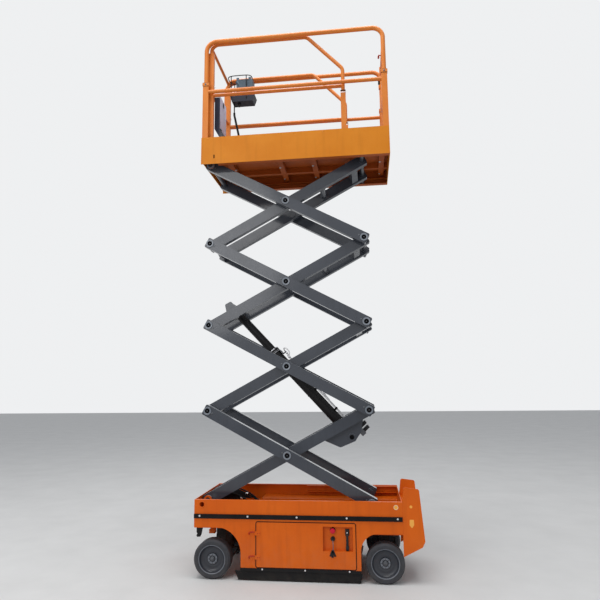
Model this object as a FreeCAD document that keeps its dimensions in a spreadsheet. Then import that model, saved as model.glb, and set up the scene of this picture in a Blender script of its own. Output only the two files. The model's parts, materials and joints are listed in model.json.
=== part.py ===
# Slab scissor lift, 6 m class, with its platform partly raised. Millimetres.
# +X points to the steered end, +Y to the side with the ground controls, +Z up.
# The origin is on the ground, midway along the machine's length and width.

import FreeCAD, Part
import Sketcher
import math
import os
import re
from FreeCAD import Placement, Rotation, Vector

os.makedirs("parts", exist_ok=True)
doc = FreeCAD.newDocument("scissor_lift")

# Driving dimensions: name, value, what it measures.
SIZES = (
    ("base_length", 1700, "chassis, front plate to rear plate"),
    ("ladder_reach", 170, "ladder, out from the rear plate"),
    ("ladder_neck", 137, "ladder's top, out from the rear plate"),
    ("ladder_mount", 17, "ladder's top, from the rear plate"),
    ("ladder_rise", 114, "ladder's top above the skirt"),
    ("ladder_slope", 14, "fall of the ladder's top edge"),
    ("ladder_low", 74, "ladder's outer lower corner below the rear wing"),
    ("ladder_foot", 170, "ladder's inner lower corner below the rear wing"),
    ("ladder_chamfer", 42, "height of the ladder's chamfered corner"),
    ("ladder_inset", 4, "ladder's near side inside the skirt's face"),
    ("ladder_width", 441, "ladder, over its side plates"),
    ("ladder_wall", 6, "ladder plate thickness"),
    ("tread_lip_height", 22, "tread's lip below its top"),
    ("tread_inset", 36, "tread's lip inside the ladder's reach"),
    ("tread_count", 3, "treads"),
    ("tread_first", 60, "lowest tread below the rear wing"),
    ("tread_pitch", 136, "pitch of the treads"),
    ("half_width", 405, "middle of the machine to the rub strip's face"),
    ("strip_wall", 10, "rub strip thickness"),
    ("strip_low", 474, "rub strip, lower edge above ground"),
    ("strip_height", 34, "rub strip height"),
    ("plate_wall", 8, "chassis plate thickness"),
    ("end_wall", 5, "chassis front and rear plate thickness"),
    ("skirt_top", 620, "skirt, top edge above ground"),
    ("skirt_low", 98, "skirt, bottom edge above ground"),
    ("front_wing_low", 405, "skirt edge over the front wheel"),
    ("rear_wing_low", 378, "skirt edge over the rear wheel"),
    ("front_arch_back", 241.5, "front axle back to the arch's upright edge"),
    ("rear_arch_ahead", 189.5, "rear axle ahead to the arch's upright edge"),
    ("front_arch_curve", 205, "front arch corner radius"),
    ("rear_arch_curve", 140, "rear arch corner radius"),
    ("ledge_level", 522, "compartment cover, underside above ground"),
    ("cover_set", 64, "compartment cover's front end behind the front bulkhead"),
    ("cover_wall", 6, "compartment cover thickness"),
    ("well_half", 160, "half width of the well between the compartments"),
    ("flange_width", 18, "skirt's folded top flange"),
    ("flange_wall", 3, "skirt's folded top flange thickness"),
    ("sill_height", 22, "guard sill height"),
    ("sill_inset", 14, "guard sill inside the skirt"),
    ("sill_proud", 4, "guard sill beyond the skirt"),
    ("hole_radius", 20, "tie-down hole radius"),
    ("hole_set", 64, "tie-down hole back from the front plate"),
    ("hole_level", 582, "tie-down hole above ground"),
    ("door_front_gap", 127, "door opening behind the front arch"),
    ("door_rear_gap", 39, "door opening ahead of the rear arch"),
    ("door_low", 104, "door opening, lower edge"),
    ("door_high", 452, "door opening, upper edge"),
    ("door_play", 2, "gap round the door"),
    ("door_curve", 14, "door corner radius"),
    ("recess_set", 22, "control recess ahead of the door's rear edge"),
    ("recess_length", 240, "control recess length"),
    ("recess_low", 238, "control recess, lower edge"),
    ("recess_high", 425, "control recess, upper edge"),
    ("recess_depth", 40, "control recess depth"),
    ("recess_wall", 4, "control recess wall thickness"),
    ("hinge_set", 14, "door hinge axis ahead of the opening"),
    ("hinge_radius", 5, "door hinge barrel radius"),
    ("hinge_height", 32, "door hinge barrel height"),
    ("hinge_down", 88, "upper hinge below the door's top edge"),
    ("hinge_up", 76, "lower hinge above the door's bottom edge"),
    ("hinge_lug", 7.5, "hinge lug height"),
    ("hinge_foot", 34, "hinge strap's reach over the door"),
    ("hinge_strap", 4, "door hinge strap thickness"),
    ("hinge_weld", 12, "hinge strap's weld behind the door's front edge"),
    ("stop_radius", 19, "stop button radius"),
    ("stop_set", 78, "stop button behind the recess's front edge"),
    ("stop_down", 34, "stop button below the recess's top edge"),
    ("key_down", 98, "key switch below the recess's top edge"),
    ("lever_set", 38, "release lever ahead of the recess's rear edge"),
    ("lever_width", 16, "release lever width"),
    ("lever_height", 150, "release lever height"),
    ("front_axle_set", 152.5, "front axle behind the front plate"),
    ("rear_axle_set", 144.5, "rear axle ahead of the rear plate"),
    ("wheel_radius", 152.5, "tyre radius"),
    ("tyre_width", 114, "tyre width"),
    ("tyre_bead", 114, "tyre inner radius, on the rim"),
    ("tyre_shoulder", 14, "tyre shoulder chamfer"),
    ("wheel_face", 395, "middle of the machine to the tyre's outer face"),
    ("rim_wall", 8, "rim thickness"),
    ("rim_inset", 7, "rim's edge inside the tyre's face"),
    ("web_out", 14, "wheel web's outer face beyond the wheel's middle"),
    ("web_wall", 10, "wheel web thickness"),
    ("hub_back", 30, "wheel hub behind the wheel's middle"),
    ("hub_radius", 44, "wheel hub radius"),
    ("hub_proud", 28, "hub nose beyond the wheel's middle"),
    ("spindle_set", 4, "spindle's end inside the hub's nose"),
    ("spindle_radius", 22, "wheel spindle radius"),
    ("spin_play", 0.08, "radial play of pins and spindles"),
    ("seat_play", 0.3, "gap between faces that slide or seat"),
    ("kingpin_set", 55, "kingpin axis inboard of the tyre"),
    ("kingpin_radius", 12, "kingpin radius"),
    ("knuckle_radius", 30, "knuckle post radius"),
    ("knuckle_half", 45, "half height of the knuckle post"),
    ("yoke_radius", 38, "axle yoke end radius"),
    ("yoke_wall", 14, "axle yoke plate thickness"),
    ("axle_half", 40, "half length of the axle beam along the machine"),
    ("front_pedestal_half", 100, "half width of the front axle's pedestal"),
    ("rear_beam_over", 30, "rear beam beyond the kingpins' width"),
    ("steer_reach", 70, "steering arm, kingpin to tie rod eye"),
    ("steer_wall", 11, "steering arm thickness"),
    ("steer_eye", 16, "steering arm and tie rod eye radius"),
    ("tie_radius", 9, "tie rod radius"),
    ("motor_radius", 43, "wheel motor radius"),
    ("motor_flange", 62, "wheel motor flange radius"),
    ("motor_set", 10, "wheel motor's inner end from the kingpin"),
    ("motor_clear", 9, "wheel motor's flange inboard of the tyre"),
    ("motor_flange_wall", 27, "wheel motor flange thickness"),
    ("steer_pin", 7, "tie rod pin radius"),
    ("guard_front_over", 47, "pothole guard beyond the front arch"),
    ("guard_rear_over", 8, "pothole guard beyond the rear arch"),
    ("guard_clear", 6, "pothole guard, lower edge above ground"),
    ("guard_wall", 6, "pothole guard thickness"),
    ("guard_pipe", 6, "pothole guard hinge pipe radius"),
    ("guard_inset", 8, "guard hinge axis inside the skirt"),
    ("guard_slope", 28, "slope at the guard's ends"),
    ("block_front_gap", 190, "battery and power unit blocks behind the front arch"),
    ("block_rear_gap", 60, "battery and power unit blocks ahead of the rear arch"),
    ("block_side_gap", 4, "battery and power unit blocks off the well's wall"),
    ("block_width", 165, "battery and power unit block width"),
    ("block_height", 270, "battery and power unit block height"),
    ("pin_set", 64, "scissor front pins behind the front plate"),
    ("pin_level", 587, "lowest scissor pins above ground"),
    ("roller_set", 48, "arms' rear pins ahead of the rear plate, fully lowered"),
    ("arm_angle", 28.2, "scissor arm slope in degrees"),
    ("arm_depth", 95, "scissor arm tube depth"),
    ("arm_width", 56, "scissor arm tube width"),
    ("arm_corner", 13, "scissor arm tube's end corner radius"),
    ("arm_tail", 35, "arm tube beyond its end pins"),
    ("arm_face", 279, "middle of the machine to the outer arm's outer face"),
    ("arm_gap", 20, "gap between outer and inner arm tubes"),
    ("boss_radius", 34, "pin boss radius"),
    ("boss_proud", 6, "boss ring beyond the outer arm's face"),
    ("pin_radius", 20, "scissor pin radius"),
    ("pin_recess", 5, "pin end inside its boss ring"),
    ("roller_stub", 20, "roller pin inside the first outer arm"),
    ("tie_tube_radius", 28, "cross tube radius in the inner arms"),
    ("tie_tube_mid", 430, "round cross tube ahead of the arm's rear pin"),
    ("tie_tube_end", 100, "end cross box ahead of the arm's rear pin"),
    ("tie_tube_first", 790, "round cross tube of the first arm ahead of its rear pin"),
    ("tie_box_length", 60, "end cross box, along the arm"),
    ("tie_box_depth", 80, "end cross box, across the arm"),
    ("roller_radius", 22.5, "roller radius"),
    ("roller_width", 36, "roller width"),
    ("channel_side", 3, "gap between a roller's end and its channel"),
    ("channel_wall", 6, "roller channel thickness"),
    ("pivot_wall", 14, "pivot bracket thickness"),
    ("pin_over", 6, "top pin's end beyond its bracket"),
    ("channel_gap", 90, "roller channel's end behind the top front pin"),
    ("lift_foot_set", 247, "cylinder foot pin ahead of the first inner arm's rear pin"),
    ("lift_foot_drop", 134, "cylinder foot pin below the first inner arm"),
    ("lift_head_along", 224, "cylinder head pin behind the third inner arm's front pin"),
    ("lift_head_rise", 91, "cylinder head pin above the third inner arm"),
    ("lift_pin_radius", 20, "cylinder pin radius"),
    ("lift_eye_radius", 38, "cylinder eye radius"),
    ("lift_eye_half", 32, "half width of the cylinder eyes"),
    ("head_gap", 38, "middle of the machine to the split head pin"),
    ("bracket_wall", 8, "cylinder bracket plate thickness"),
    ("bracket_weld", 5, "gap between a bracket plate and the arm beside it"),
    ("bracket_seat", 30, "height of the spacer between plate and arm"),
    ("foot_plate_front", 248, "foot bracket ahead of its pin"),
    ("foot_plate_rear", 182, "foot bracket behind its pin"),
    ("foot_rim", 30, "foot bracket below its pin"),
    ("head_plate", 62, "half length of the head bracket"),
    ("barrel_radius", 47.5, "cylinder barrel radius"),
    ("barrel_length", 1045, "cylinder foot pin to the barrel's mouth"),
    ("barrel_end_wall", 22, "barrel's bottom, from the eye to the bore"),
    ("gland_radius", 55, "cylinder gland radius"),
    ("gland_length", 40, "cylinder gland length"),
    ("ram_radius", 37, "cylinder rod radius"),
    ("ram_tail_set", 475, "rod's tail from the cylinder's foot pin"),
    ("deck_front_set", 0, "platform behind the chassis front plate"),
    ("deck_over", 15, "platform beyond the chassis rear plate"),
    ("deck_half", 390, "middle of the machine to the side panel's face"),
    ("deck_drop", 29, "side panel's lower edge below the top pins"),
    ("panel_height", 258, "side panel height"),
    ("panel_wall", 5, "side panel thickness"),
    ("deck_rise", 145, "deck surface above the side panel's lower edge"),
    ("deck_wall", 5, "deck plate thickness"),
    ("end_plate_rise", 30, "front end plate above the panel's lower edge"),
    ("joist_depth", 52, "cross member depth"),
    ("joist_width", 50, "cross member width"),
    ("joist_set", 40, "first cross member from the platform's rear"),
    ("joist_pitch", 320, "pitch of the rear cross members"),
    ("joist_front_set", 95, "last cross member's rear edge behind the platform's front"),
    ("joist_front_pitch", 140, "pitch of the front cross members"),
    ("stringer_set", 150, "stringer from the middle"),
    ("stringer_width", 40, "stringer width"),
    ("rail_rise", 1256, "top rail's upper side above the panel's lower edge"),
    ("rail_radius", 20.5, "guardrail tube radius"),
    ("rail_bend", 100, "guardrail bend radius"),
    ("post_depth", 53, "rail post, along the machine"),
    ("post_width", 36, "rail post, across the machine"),
    ("post_rise", 808, "top of the lower rail posts above the panel's lower edge"),
    ("mid_rail_rise", 724, "mid rail above the panel's lower edge"),
    ("mid_rail_radius", 17.5, "mid rail tube radius"),
    ("front_rail_radius", 14, "extension's front rail tube radius"),
    ("collar_height", 30, "rail collar height"),
    ("collar_proud", 4, "rail collar beyond its post"),
    ("gate_post_set", 285, "gate post from the middle"),
    ("gate_post_radius", 17, "gate post radius"),
    ("gate_tube_radius", 15, "gate tube radius"),
    ("gate_half", 262, "half width of the gate"),
    ("gate_hinge_ahead", 22, "gate hinge axis ahead of the gate tubes"),
    ("gate_hinge_out", 4, "gate hinge axis outside the gate"),
    ("gate_hinge_set", 160, "gate hinges from the gate's ends"),
    ("gate_hinge_height", 40, "gate hinge height"),
    ("gate_barrel", 9, "gate hinge barrel radius"),
    ("gate_pin", 4, "gate hinge pin radius"),
    ("gate_ear", 6, "gate hinge bracket thickness"),
    ("gate_drop", 90, "gate's top below the rail's"),
    ("gate_low", 12, "gate above the deck"),
    ("gate_toe_height", 100, "gate toe plate height"),
    ("slide_rear_set", 365, "extension deck ahead of the platform's rear"),
    ("slide_half", 341, "middle of the machine to the extension's side board"),
    ("slide_wall", 4, "extension plate thickness"),
    ("slide_front_set", 5, "extension front behind the platform's front"),
    ("nest_radius", 17, "extension rail tube radius"),
    ("nest_set", 60, "extension rail's front post behind the extension's front"),
    ("nest_rear_set", 37, "extension rail's rear post ahead of the extension's rear"),
    ("nest_bend", 70, "extension rail bend radius"),
    ("nest_front_rise", 1140, "top of the extension's front posts"),
    ("nest_front_depth", 54, "extension's front posts, along the machine"),
    ("nest_socket_rise", 650, "top of the extension's rear sockets"),
    ("nest_socket_depth", 45, "extension's posts, along the machine"),
    ("nest_socket_width", 36, "extension's posts, across the machine"),
    ("front_rail_drop", 36, "front cross rail below the extension's top rail"),
    ("front_mid_rise", 740, "front mid rail above the panel's lower edge"),
    ("nest_knee_rise", 884, "extension rail's lower knee"),
    ("nest_top_drop", 22, "extension top rail's middle below the top"),
    ("nest_run", 330, "length of the sloping rail along the machine"),
    ("nest_mid_rise", 711, "extension mid rail above the panel's lower edge"),
    ("box_set", 113, "control box behind the extension's front"),
    ("box_length", 263, "control box length"),
    ("box_width", 120, "control box width"),
    ("box_rise", 918, "control box tray above the panel's lower edge"),
    ("box_height", 250, "control box height"),
    ("tray_height", 66, "control box tray height"),
    ("tray_slope", 22, "slope of the tray's ends"),
    ("head_set", 25, "switch housing ahead of the tray's rear end"),
    ("head_length", 145, "switch housing length"),
    ("head_inset", 8, "switch housing inside the tray's width"),
    ("hook_width", 26, "control box hook width"),
    ("stick_radius", 13, "joystick stem radius"),
    ("stick_rise", 165, "joystick's foot above the tray's underside"),
    ("stick_set", 25, "joystick's foot behind the switch housing's front"),
    ("stick_lean", 64, "joystick's lean forward"),
    ("stick_height", 92, "joystick height"),
    ("book_width", 240, "manual box width"),
    ("book_height", 400, "manual box height"),
    ("book_depth", 50, "manual box depth"),
    ("book_rise", 335, "manual box above the panel's lower edge"),
    ("book_slope", 80, "height of the manual box's sloping front"),
    ("book_wall", 5, "manual box wall"),
    ("book_hook", 30, "manual box hook width"),
    ("cable_radius", 11, "control cable radius"),
    ("cable_thin", 6, "control cable radius under the box"),
    ("cable_set", 34, "control cable behind the tray's front end"),
    ("cable_run", 53, "control cable's shift along the machine"),
    ("cable_high", 800, "cable's upper bend above the panel's lower edge"),
    ("cable_low", 548, "cable's lower bend above the panel's lower edge"),
    ("cable_bend", 60, "control cable bend radius"),
)

# Places that follow from the driving dimensions: name, formula.
PLACES = (
    ("front_x", "(base_length + ladder_reach) / 2"),
    ("rear_x", "front_x - base_length"),
    ("ladder_x", "rear_x - ladder_reach"),
    ("skirt_face", "half_width - strip_wall"),
    ("skirt_back", "skirt_face - plate_wall"),
    ("front_axle_x", "front_x - front_axle_set"),
    ("rear_axle_x", "rear_x + rear_axle_set"),
    ("front_bulk_x", "front_axle_x - front_arch_back"),
    ("rear_bulk_x", "rear_axle_x + rear_arch_ahead"),
    ("cover_front_x", "front_bulk_x - cover_set"),
    ("ladder_y", "skirt_face - ladder_inset"),
    ("door_front_x", "front_bulk_x - door_front_gap"),
    ("door_rear_x", "rear_bulk_x + door_rear_gap"),
    ("recess_rear_x", "door_rear_x + recess_set"),
    ("recess_front_x", "recess_rear_x + recess_length"),
    ("recess_floor", "skirt_face - recess_depth + recess_wall"),
    ("hinge_x", "door_front_x + hinge_set"),
    ("guard_front_x", "front_bulk_x + guard_front_over"),
    ("guard_rear_x", "rear_bulk_x - guard_rear_over"),
    ("wheel_mid", "wheel_face - tyre_width / 2"),
    ("kingpin_y", "wheel_face - tyre_width - kingpin_set"),
    ("motor_face", "kingpin_y + kingpin_set - motor_clear"),
    ("yoke_low", "wheel_radius - knuckle_half - seat_play - yoke_wall"),
    ("yoke_high", "wheel_radius + knuckle_half + seat_play + yoke_wall"),
    ("steer_level", "yoke_low - 7 - steer_wall"),
    ("tie_level", "steer_level - seat_play - tie_radius - 1"),
    ("hinge_y", "skirt_face + hinge_radius - 0.4"),
    ("pin_x", "front_x - pin_set"),
    ("arm_span", "base_length - pin_set - roller_set"),
    ("stage_rise", "arm_span * sin(arm_angle)"),
    ("stage_run", "arm_span * cos(arm_angle)"),
    ("slide_pin_x", "pin_x - stage_run"),
    ("top_pin_level", "pin_level + 4 * stage_rise"),
    ("inner_face", "arm_face - arm_width - arm_gap"),
    ("inner_back", "inner_face - arm_width"),
    ("plate_out", "inner_back - bracket_weld"),
    ("washer", "(arm_gap - seat_play) / 2"),
    ("roller_out", "skirt_back - channel_wall - channel_side"),
    ("top_roller_out", "deck_half - panel_wall - channel_wall - channel_side"),
    ("lift_foot_along", "arm_span - lift_foot_set"),
    ("foot_x", "pin_x - lift_foot_along * cos(arm_angle) - lift_foot_drop * sin(arm_angle)"),
    ("foot_z", "pin_level + lift_foot_along * sin(arm_angle) - lift_foot_drop * cos(arm_angle)"),
    ("head_x", "pin_x - lift_head_along * cos(arm_angle) + lift_head_rise * sin(arm_angle)"),
    ("head_up", "lift_head_along * sin(arm_angle) + lift_head_rise * cos(arm_angle)"),
    ("head_z", "pin_level + 2 * stage_rise + head_up"),
    ("lift_length", "sqrt((head_x - foot_x) ^ 2 + (head_z - foot_z) ^ 2)"),
    ("lift_tilt", "atan2(head_z - foot_z; head_x - foot_x) / 1deg"),
    ("deck_front_x", "front_x - deck_front_set"),
    ("deck_rear_x", "rear_x - deck_over"),
    ("deck_low", "top_pin_level - deck_drop"),
    ("deck_top", "deck_low + deck_rise"),
    ("rail_top", "deck_low + rail_rise - rail_radius"),
    ("rail_y", "deck_half - panel_wall - post_width / 2 - 1"),
    ("front_post_x", "deck_front_x - post_depth / 2 - collar_proud"),
    ("rear_post_x", "deck_rear_x + post_depth / 2"),
    ("post_top", "deck_low + post_rise"),
    ("gate_x", "rear_post_x"),
    ("gate_hinge_x", "gate_x + gate_hinge_ahead"),
    ("gate_hinge_y", "gate_half + gate_hinge_out"),
    ("gate_base", "deck_top + gate_low"),
    ("gate_top", "rail_top - gate_drop"),
    ("slide_front_x", "deck_front_x - slide_front_set"),
    ("slide_rear_x", "deck_rear_x + slide_rear_set"),
    ("box_front_x", "slide_front_x - box_set"),
    ("box_rear_x", "box_front_x - box_length"),
    ("slide_top", "deck_top + seat_play + slide_wall"),
    ("nest_y", "slide_half - slide_wall - nest_socket_width / 2 - 1"),
    ("nest_front_x", "slide_front_x - nest_set"),
    ("nest_rear_x", "slide_rear_x + nest_rear_set"),
    ("nest_top", "deck_low + rail_rise - nest_top_drop"),
    ("nest_post_top", "deck_low + nest_socket_rise"),
    ("nest_front_top", "deck_low + nest_front_rise"),
    ("nest_mid", "deck_low + nest_mid_rise"),
    ("front_rail_z", "nest_top - front_rail_drop"),
    ("box_low", "deck_low + box_rise"),
    ("tray_top", "box_low + tray_height"),
    ("book_low", "deck_low + book_rise"),
    ("book_front", "nest_front_x - front_rail_radius - seat_play"),
    ("book_hang", "deck_low + front_mid_rise + front_rail_radius"),
    ("box_back", "nest_y - nest_radius"),
    ("stick_x", "box_rear_x + head_set + head_length - stick_set"),
    ("stick_low", "box_low + stick_rise"),
    ("cable_x", "box_front_x - cable_set"),
    ("guard_axis_y", "skirt_face - guard_inset"),
    ("guard_axis_z", "skirt_low - sill_height - guard_pipe"),
    ("block_level", "skirt_low + plate_wall"),
)

sheet = doc.addObject("Spreadsheet::Sheet", "Sizes")
places = doc.addObject("Spreadsheet::Sheet", "Places")
owner = {name: "Sizes" for name, value, meaning in SIZES}
owner.update({name: "Places" for name, text in PLACES})


def formula(text):
    """Puts the sheet's name before each name that a formula uses."""
    words = re.compile(r"[a-z][a-z0-9_]*")
    return words.sub(lambda word: owner[word.group()] + "." + word.group() if word.group() in owner
                     else word.group(), str(text))


for row, (name, value, meaning) in enumerate(SIZES, 1):
    sheet.set("A%d" % row, meaning)
    sheet.set("B%d" % row, str(value))
    sheet.setAlias("B%d" % row, name)
for row, (name, text) in enumerate(PLACES, 1):
    places.set("A%d" % row, name.replace("_", " "))
    places.setAlias("B%d" % row, name)
for row, (name, text) in enumerate(PLACES, 1):
    places.set("B%d" % row, "=" + formula(text).replace("Places.", ""))
doc.recompute()


def number(text):
    """The value of a formula, for shapes that need it as a number."""
    return float(sheet.evalExpression(formula(text)))


def bind(item, **formulas):
    """Ties properties of an object to formulas; two underscores stand for a dot."""
    for name, text in formulas.items():
        item.setExpression(name.replace("__", "."), formula(text))
    return item


def place(item, x="0", y="0", z="0"):
    return bind(item, Placement__Base__x=x, Placement__Base__y=y, Placement__Base__z=z)


def span(side, near, far):
    """A low and high pair of formulas across the machine, for the left (1) or right (-1) side."""
    return (near, far) if side > 0 else ("-(%s)" % far, "-(%s)" % near)


def flip(side, text):
    return text if side > 0 else "-(%s)" % text


def block(name, x, y, z):
    """A box between low and high formulas on each axis."""
    box = doc.addObject("Part::Box", name)
    for length, (low, high) in zip(("Length", "Width", "Height"), (x, y, z)):
        box.setExpression(length, formula("(%s) - (%s)" % (high, low)))
    return place(box, x[0], y[0], z[0])


TURNS = {"X": Rotation(Vector(0, 1, 0), 90), "Y": Rotation(Vector(1, 0, 0), -90), "Z": Rotation()}


def bar(name, axis, radius, x, y, z):
    """A round bar; the axis's own entry is a low and high pair, the others are its centre."""
    low, high = {"X": x, "Y": y, "Z": z}[axis]
    cylinder = doc.addObject("Part::Cylinder", name)
    cylinder.Placement = Placement(Vector(), TURNS[axis])
    bind(cylinder, Radius=radius, Height="(%s) - (%s)" % (high, low))
    return place(cylinder, *[low if key == axis else centre for key, centre in zip("XYZ", (x, y, z))])


def fuse(name, *pieces):
    result = doc.addObject("Part::MultiFuse", name)
    result.Shapes = list(pieces)
    return result


def gather(name, *pieces):
    """Solids of one node that don't touch, or only meet face to face."""
    result = doc.addObject("Part::Compound", name)
    result.Links = list(pieces)
    return result


def cut(name, base, *tools):
    result = doc.addObject("Part::Cut", name)
    result.Base = base
    result.Tool = tools[0] if len(tools) == 1 else fuse(name + "_tools", *tools)
    return result


def flat(role, point):
    """A point's two coordinates in a sketch on an origin plane."""
    return {"XY_Plane": (point.x, point.y), "XZ_Plane": (point.x, point.z),
            "YZ_Plane": (point.y, point.z)}[role]


def outline(body, role, name, points):
    """A closed sketch through points whose coordinates are formulas."""
    sketch = body.newObject("Sketcher::SketchObject", name)
    plane = [item for item in body.Origin.OriginFeatures if item.Role == role][0]
    sketch.AttachmentSupport = [(plane, "")]
    sketch.MapMode = "FlatFace"
    corners = [Vector(number(u), number(v), 0) for u, v in points]
    count = len(corners)
    for index, corner in enumerate(corners):
        sketch.addGeometry(Part.LineSegment(corner, corners[(index + 1) % count]), False)
    for index in range(count):
        sketch.addConstraint(Sketcher.Constraint("Coincident", index, 2, (index + 1) % count, 1))
    for index, (u, v) in enumerate(points):
        for kind, text, value in (("DistanceX", u, corners[index].x), ("DistanceY", v, corners[index].y)):
            rule = sketch.addConstraint(Sketcher.Constraint(kind, -1, 1, index, 1, value))
            sketch.setExpression("Constraints[%d]" % rule, formula(text))
    return sketch


def plate(name, role, points, wall, rounds=()):
    """A flat plate from its outline, thickened along its plane's normal.

    rounds holds (corner indexes, radius) pairs for the corners that are rounded."""
    body = doc.addObject("PartDesign::Body", name)
    pad = body.newObject("PartDesign::Pad", name + "_pad")
    pad.Profile = outline(body, role, name + "_outline", points)
    pad.setExpression("Length", formula(wall))
    for order, (indexes, radius) in enumerate(rounds):
        doc.recompute()
        base = body.Tip
        wanted = [(number(points[index][0]), number(points[index][1])) for index in indexes]
        edges = []
        for count, edge in enumerate(base.Shape.Edges, 1):
            ends = [flat(role, vertex.Point) for vertex in edge.Vertexes]
            if len(ends) == 2 and math.dist(*ends) < 1e-6:
                if any(math.dist(ends[0], corner) < 1e-6 for corner in wanted):
                    edges.append("Edge%d" % count)
        fillet = body.newObject("PartDesign::Fillet", "%s_round%d" % (name, order))
        fillet.Base = (base, edges)
        fillet.setExpression("Radius", formula(radius))
    return body


def turned(name, points, side=1):
    """A solid turned about the Y axis from (y, radius) formulas, facing out to its side."""
    body = doc.addObject("PartDesign::Body", name)
    sketch = outline(body, "YZ_Plane", name + "_outline", points)
    revolution = body.newObject("PartDesign::Revolution", name + "_turn")
    revolution.Profile = sketch
    revolution.ReferenceAxis = (sketch, ["H_Axis"])
    revolution.Angle = 360
    if side < 0:
        body.Placement = Placement(Vector(), Rotation(Vector(0, 0, 1), 180))
    return body


def bent_tube(name, points, radius, bend):
    """A tube along straight runs joined by tangent arcs; sizes are formulas."""
    corners = [Vector(*[number(value) for value in point]) for point in points]
    turn_radius = number(bend)
    edges = []
    start = corners[0]
    for before, corner, after in zip(corners, corners[1:], corners[2:]):
        to_before = (before - corner).normalize()
        to_after = (after - corner).normalize()
        half = to_before.getAngle(to_after) / 2
        reach = turn_radius / math.tan(half)
        middle = (to_before + to_after).normalize()
        enter = corner + to_before * reach
        leave = corner + to_after * reach
        deepest = corner + middle * (turn_radius / math.sin(half) - turn_radius)
        edges.append(Part.LineSegment(start, enter).toShape())
        edges.append(Part.Arc(enter, deepest, leave).toShape())
        start = leave
    edges.append(Part.LineSegment(start, corners[-1]).toShape())
    path = Part.Wire(edges)
    circle = Part.Circle(corners[0], corners[1] - corners[0], number(radius))
    tube = doc.addObject("Part::Feature", name)
    tube.Shape = path.makePipeShell([Part.Wire(circle.toShape())], True, False)
    return tube


nodes = []


def node(item, name):
    item.Label = name
    nodes.append(item)
    return item


SIDES = (("left", 1), ("right", -1))


def chassis():
    """The tub that carries everything: floor, bulkheads, wheel decks, covers, channels and pivots."""
    inside = ("-(skirt_back)", "skirt_back")
    pieces = [
        block("floor", ("rear_bulk_x", "front_bulk_x"), inside, ("skirt_low", "skirt_low + plate_wall")),
        block("front_bulkhead", ("front_bulk_x - plate_wall", "front_bulk_x"), inside,
              ("skirt_low", "front_wing_low")),
        block("rear_bulkhead", ("rear_bulk_x", "rear_bulk_x + plate_wall"), inside,
              ("skirt_low", "rear_wing_low")),
        block("front_wheel_deck", ("front_bulk_x - plate_wall", "front_x"), inside,
              ("front_wing_low - plate_wall", "front_wing_low")),
        block("rear_wheel_deck", ("rear_x", "rear_bulk_x + plate_wall"), inside,
              ("rear_wing_low - plate_wall", "rear_wing_low")),
        block("front_plate", ("front_x - end_wall", "front_x"), inside,
              ("front_wing_low - plate_wall", "skirt_top")),
        block("rear_plate", ("rear_x", "rear_x + end_wall"), inside,
              ("rear_wing_low - plate_wall", "skirt_top")),
    ]
    ears = (("inner", "inner_back - pivot_wall - seat_play - washer"),
            ("outer", "inner_face + seat_play + washer"))
    for name, side in SIDES:
        wall = span(side, "well_half", "well_half + cover_wall")
        pieces.append(block("cover_" + name, ("rear_x", "cover_front_x"),
                            span(side, "well_half", "skirt_back"),
                            ("ledge_level", "ledge_level + cover_wall")))
        pieces.append(block("well_wall_" + name, ("rear_bulk_x", "front_bulk_x"), wall,
                            ("skirt_low", "ledge_level + cover_wall")))
        pieces.append(block("rear_gusset_" + name, ("rear_x", "rear_bulk_x + plate_wall"), wall,
                            ("rear_wing_low - plate_wall", "ledge_level + cover_wall")))
        pieces.extend(roller_channel("base_channel_" + name, side,
                                     ("rear_x + end_wall", "pin_x - arm_span / 2"),
                                     "skirt_back", "roller_out", "pin_level"))
        for place_name, near in ears:
            thick = span(side, near, near + " + pivot_wall")
            pieces.append(block("pivot_%s_%s" % (place_name, name),
                                ("pin_x - boss_radius", "pin_x + boss_radius"),
                                thick, ("front_wing_low - plate_wall", "pin_level")))
            pieces.append(bar("pivot_head_%s_%s" % (place_name, name), "Y", "boss_radius", "pin_x", thick,
                              "pin_level"))
    bore = bar("pivot_bore", "Y", "pin_radius + spin_play", "pin_x", ("-(arm_face)", "arm_face"), "pin_level")
    return node(cut("base_frame", fuse("base_frame_solid", *pieces), bore), "base_frame")


def roller_channel(name, side, x, web, out, level):
    """Top and bottom flanges and the web of a channel that a roller runs in."""
    inner = "%s - roller_width - channel_side" % out
    return [
        block(name + "_top", x, span(side, inner, web),
              ("%s + roller_radius + seat_play" % level,
               "%s + roller_radius + seat_play + channel_wall" % level)),
        block(name + "_bottom", x, span(side, inner, web),
              ("%s - roller_radius - seat_play - channel_wall" % level,
               "%s - roller_radius - seat_play" % level)),
        block(name + "_web", x, span(side, "%s - channel_wall" % web, web),
              ("%s - roller_radius - seat_play - channel_wall" % level,
               "%s + roller_radius + seat_play + channel_wall" % level)),
    ]


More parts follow.
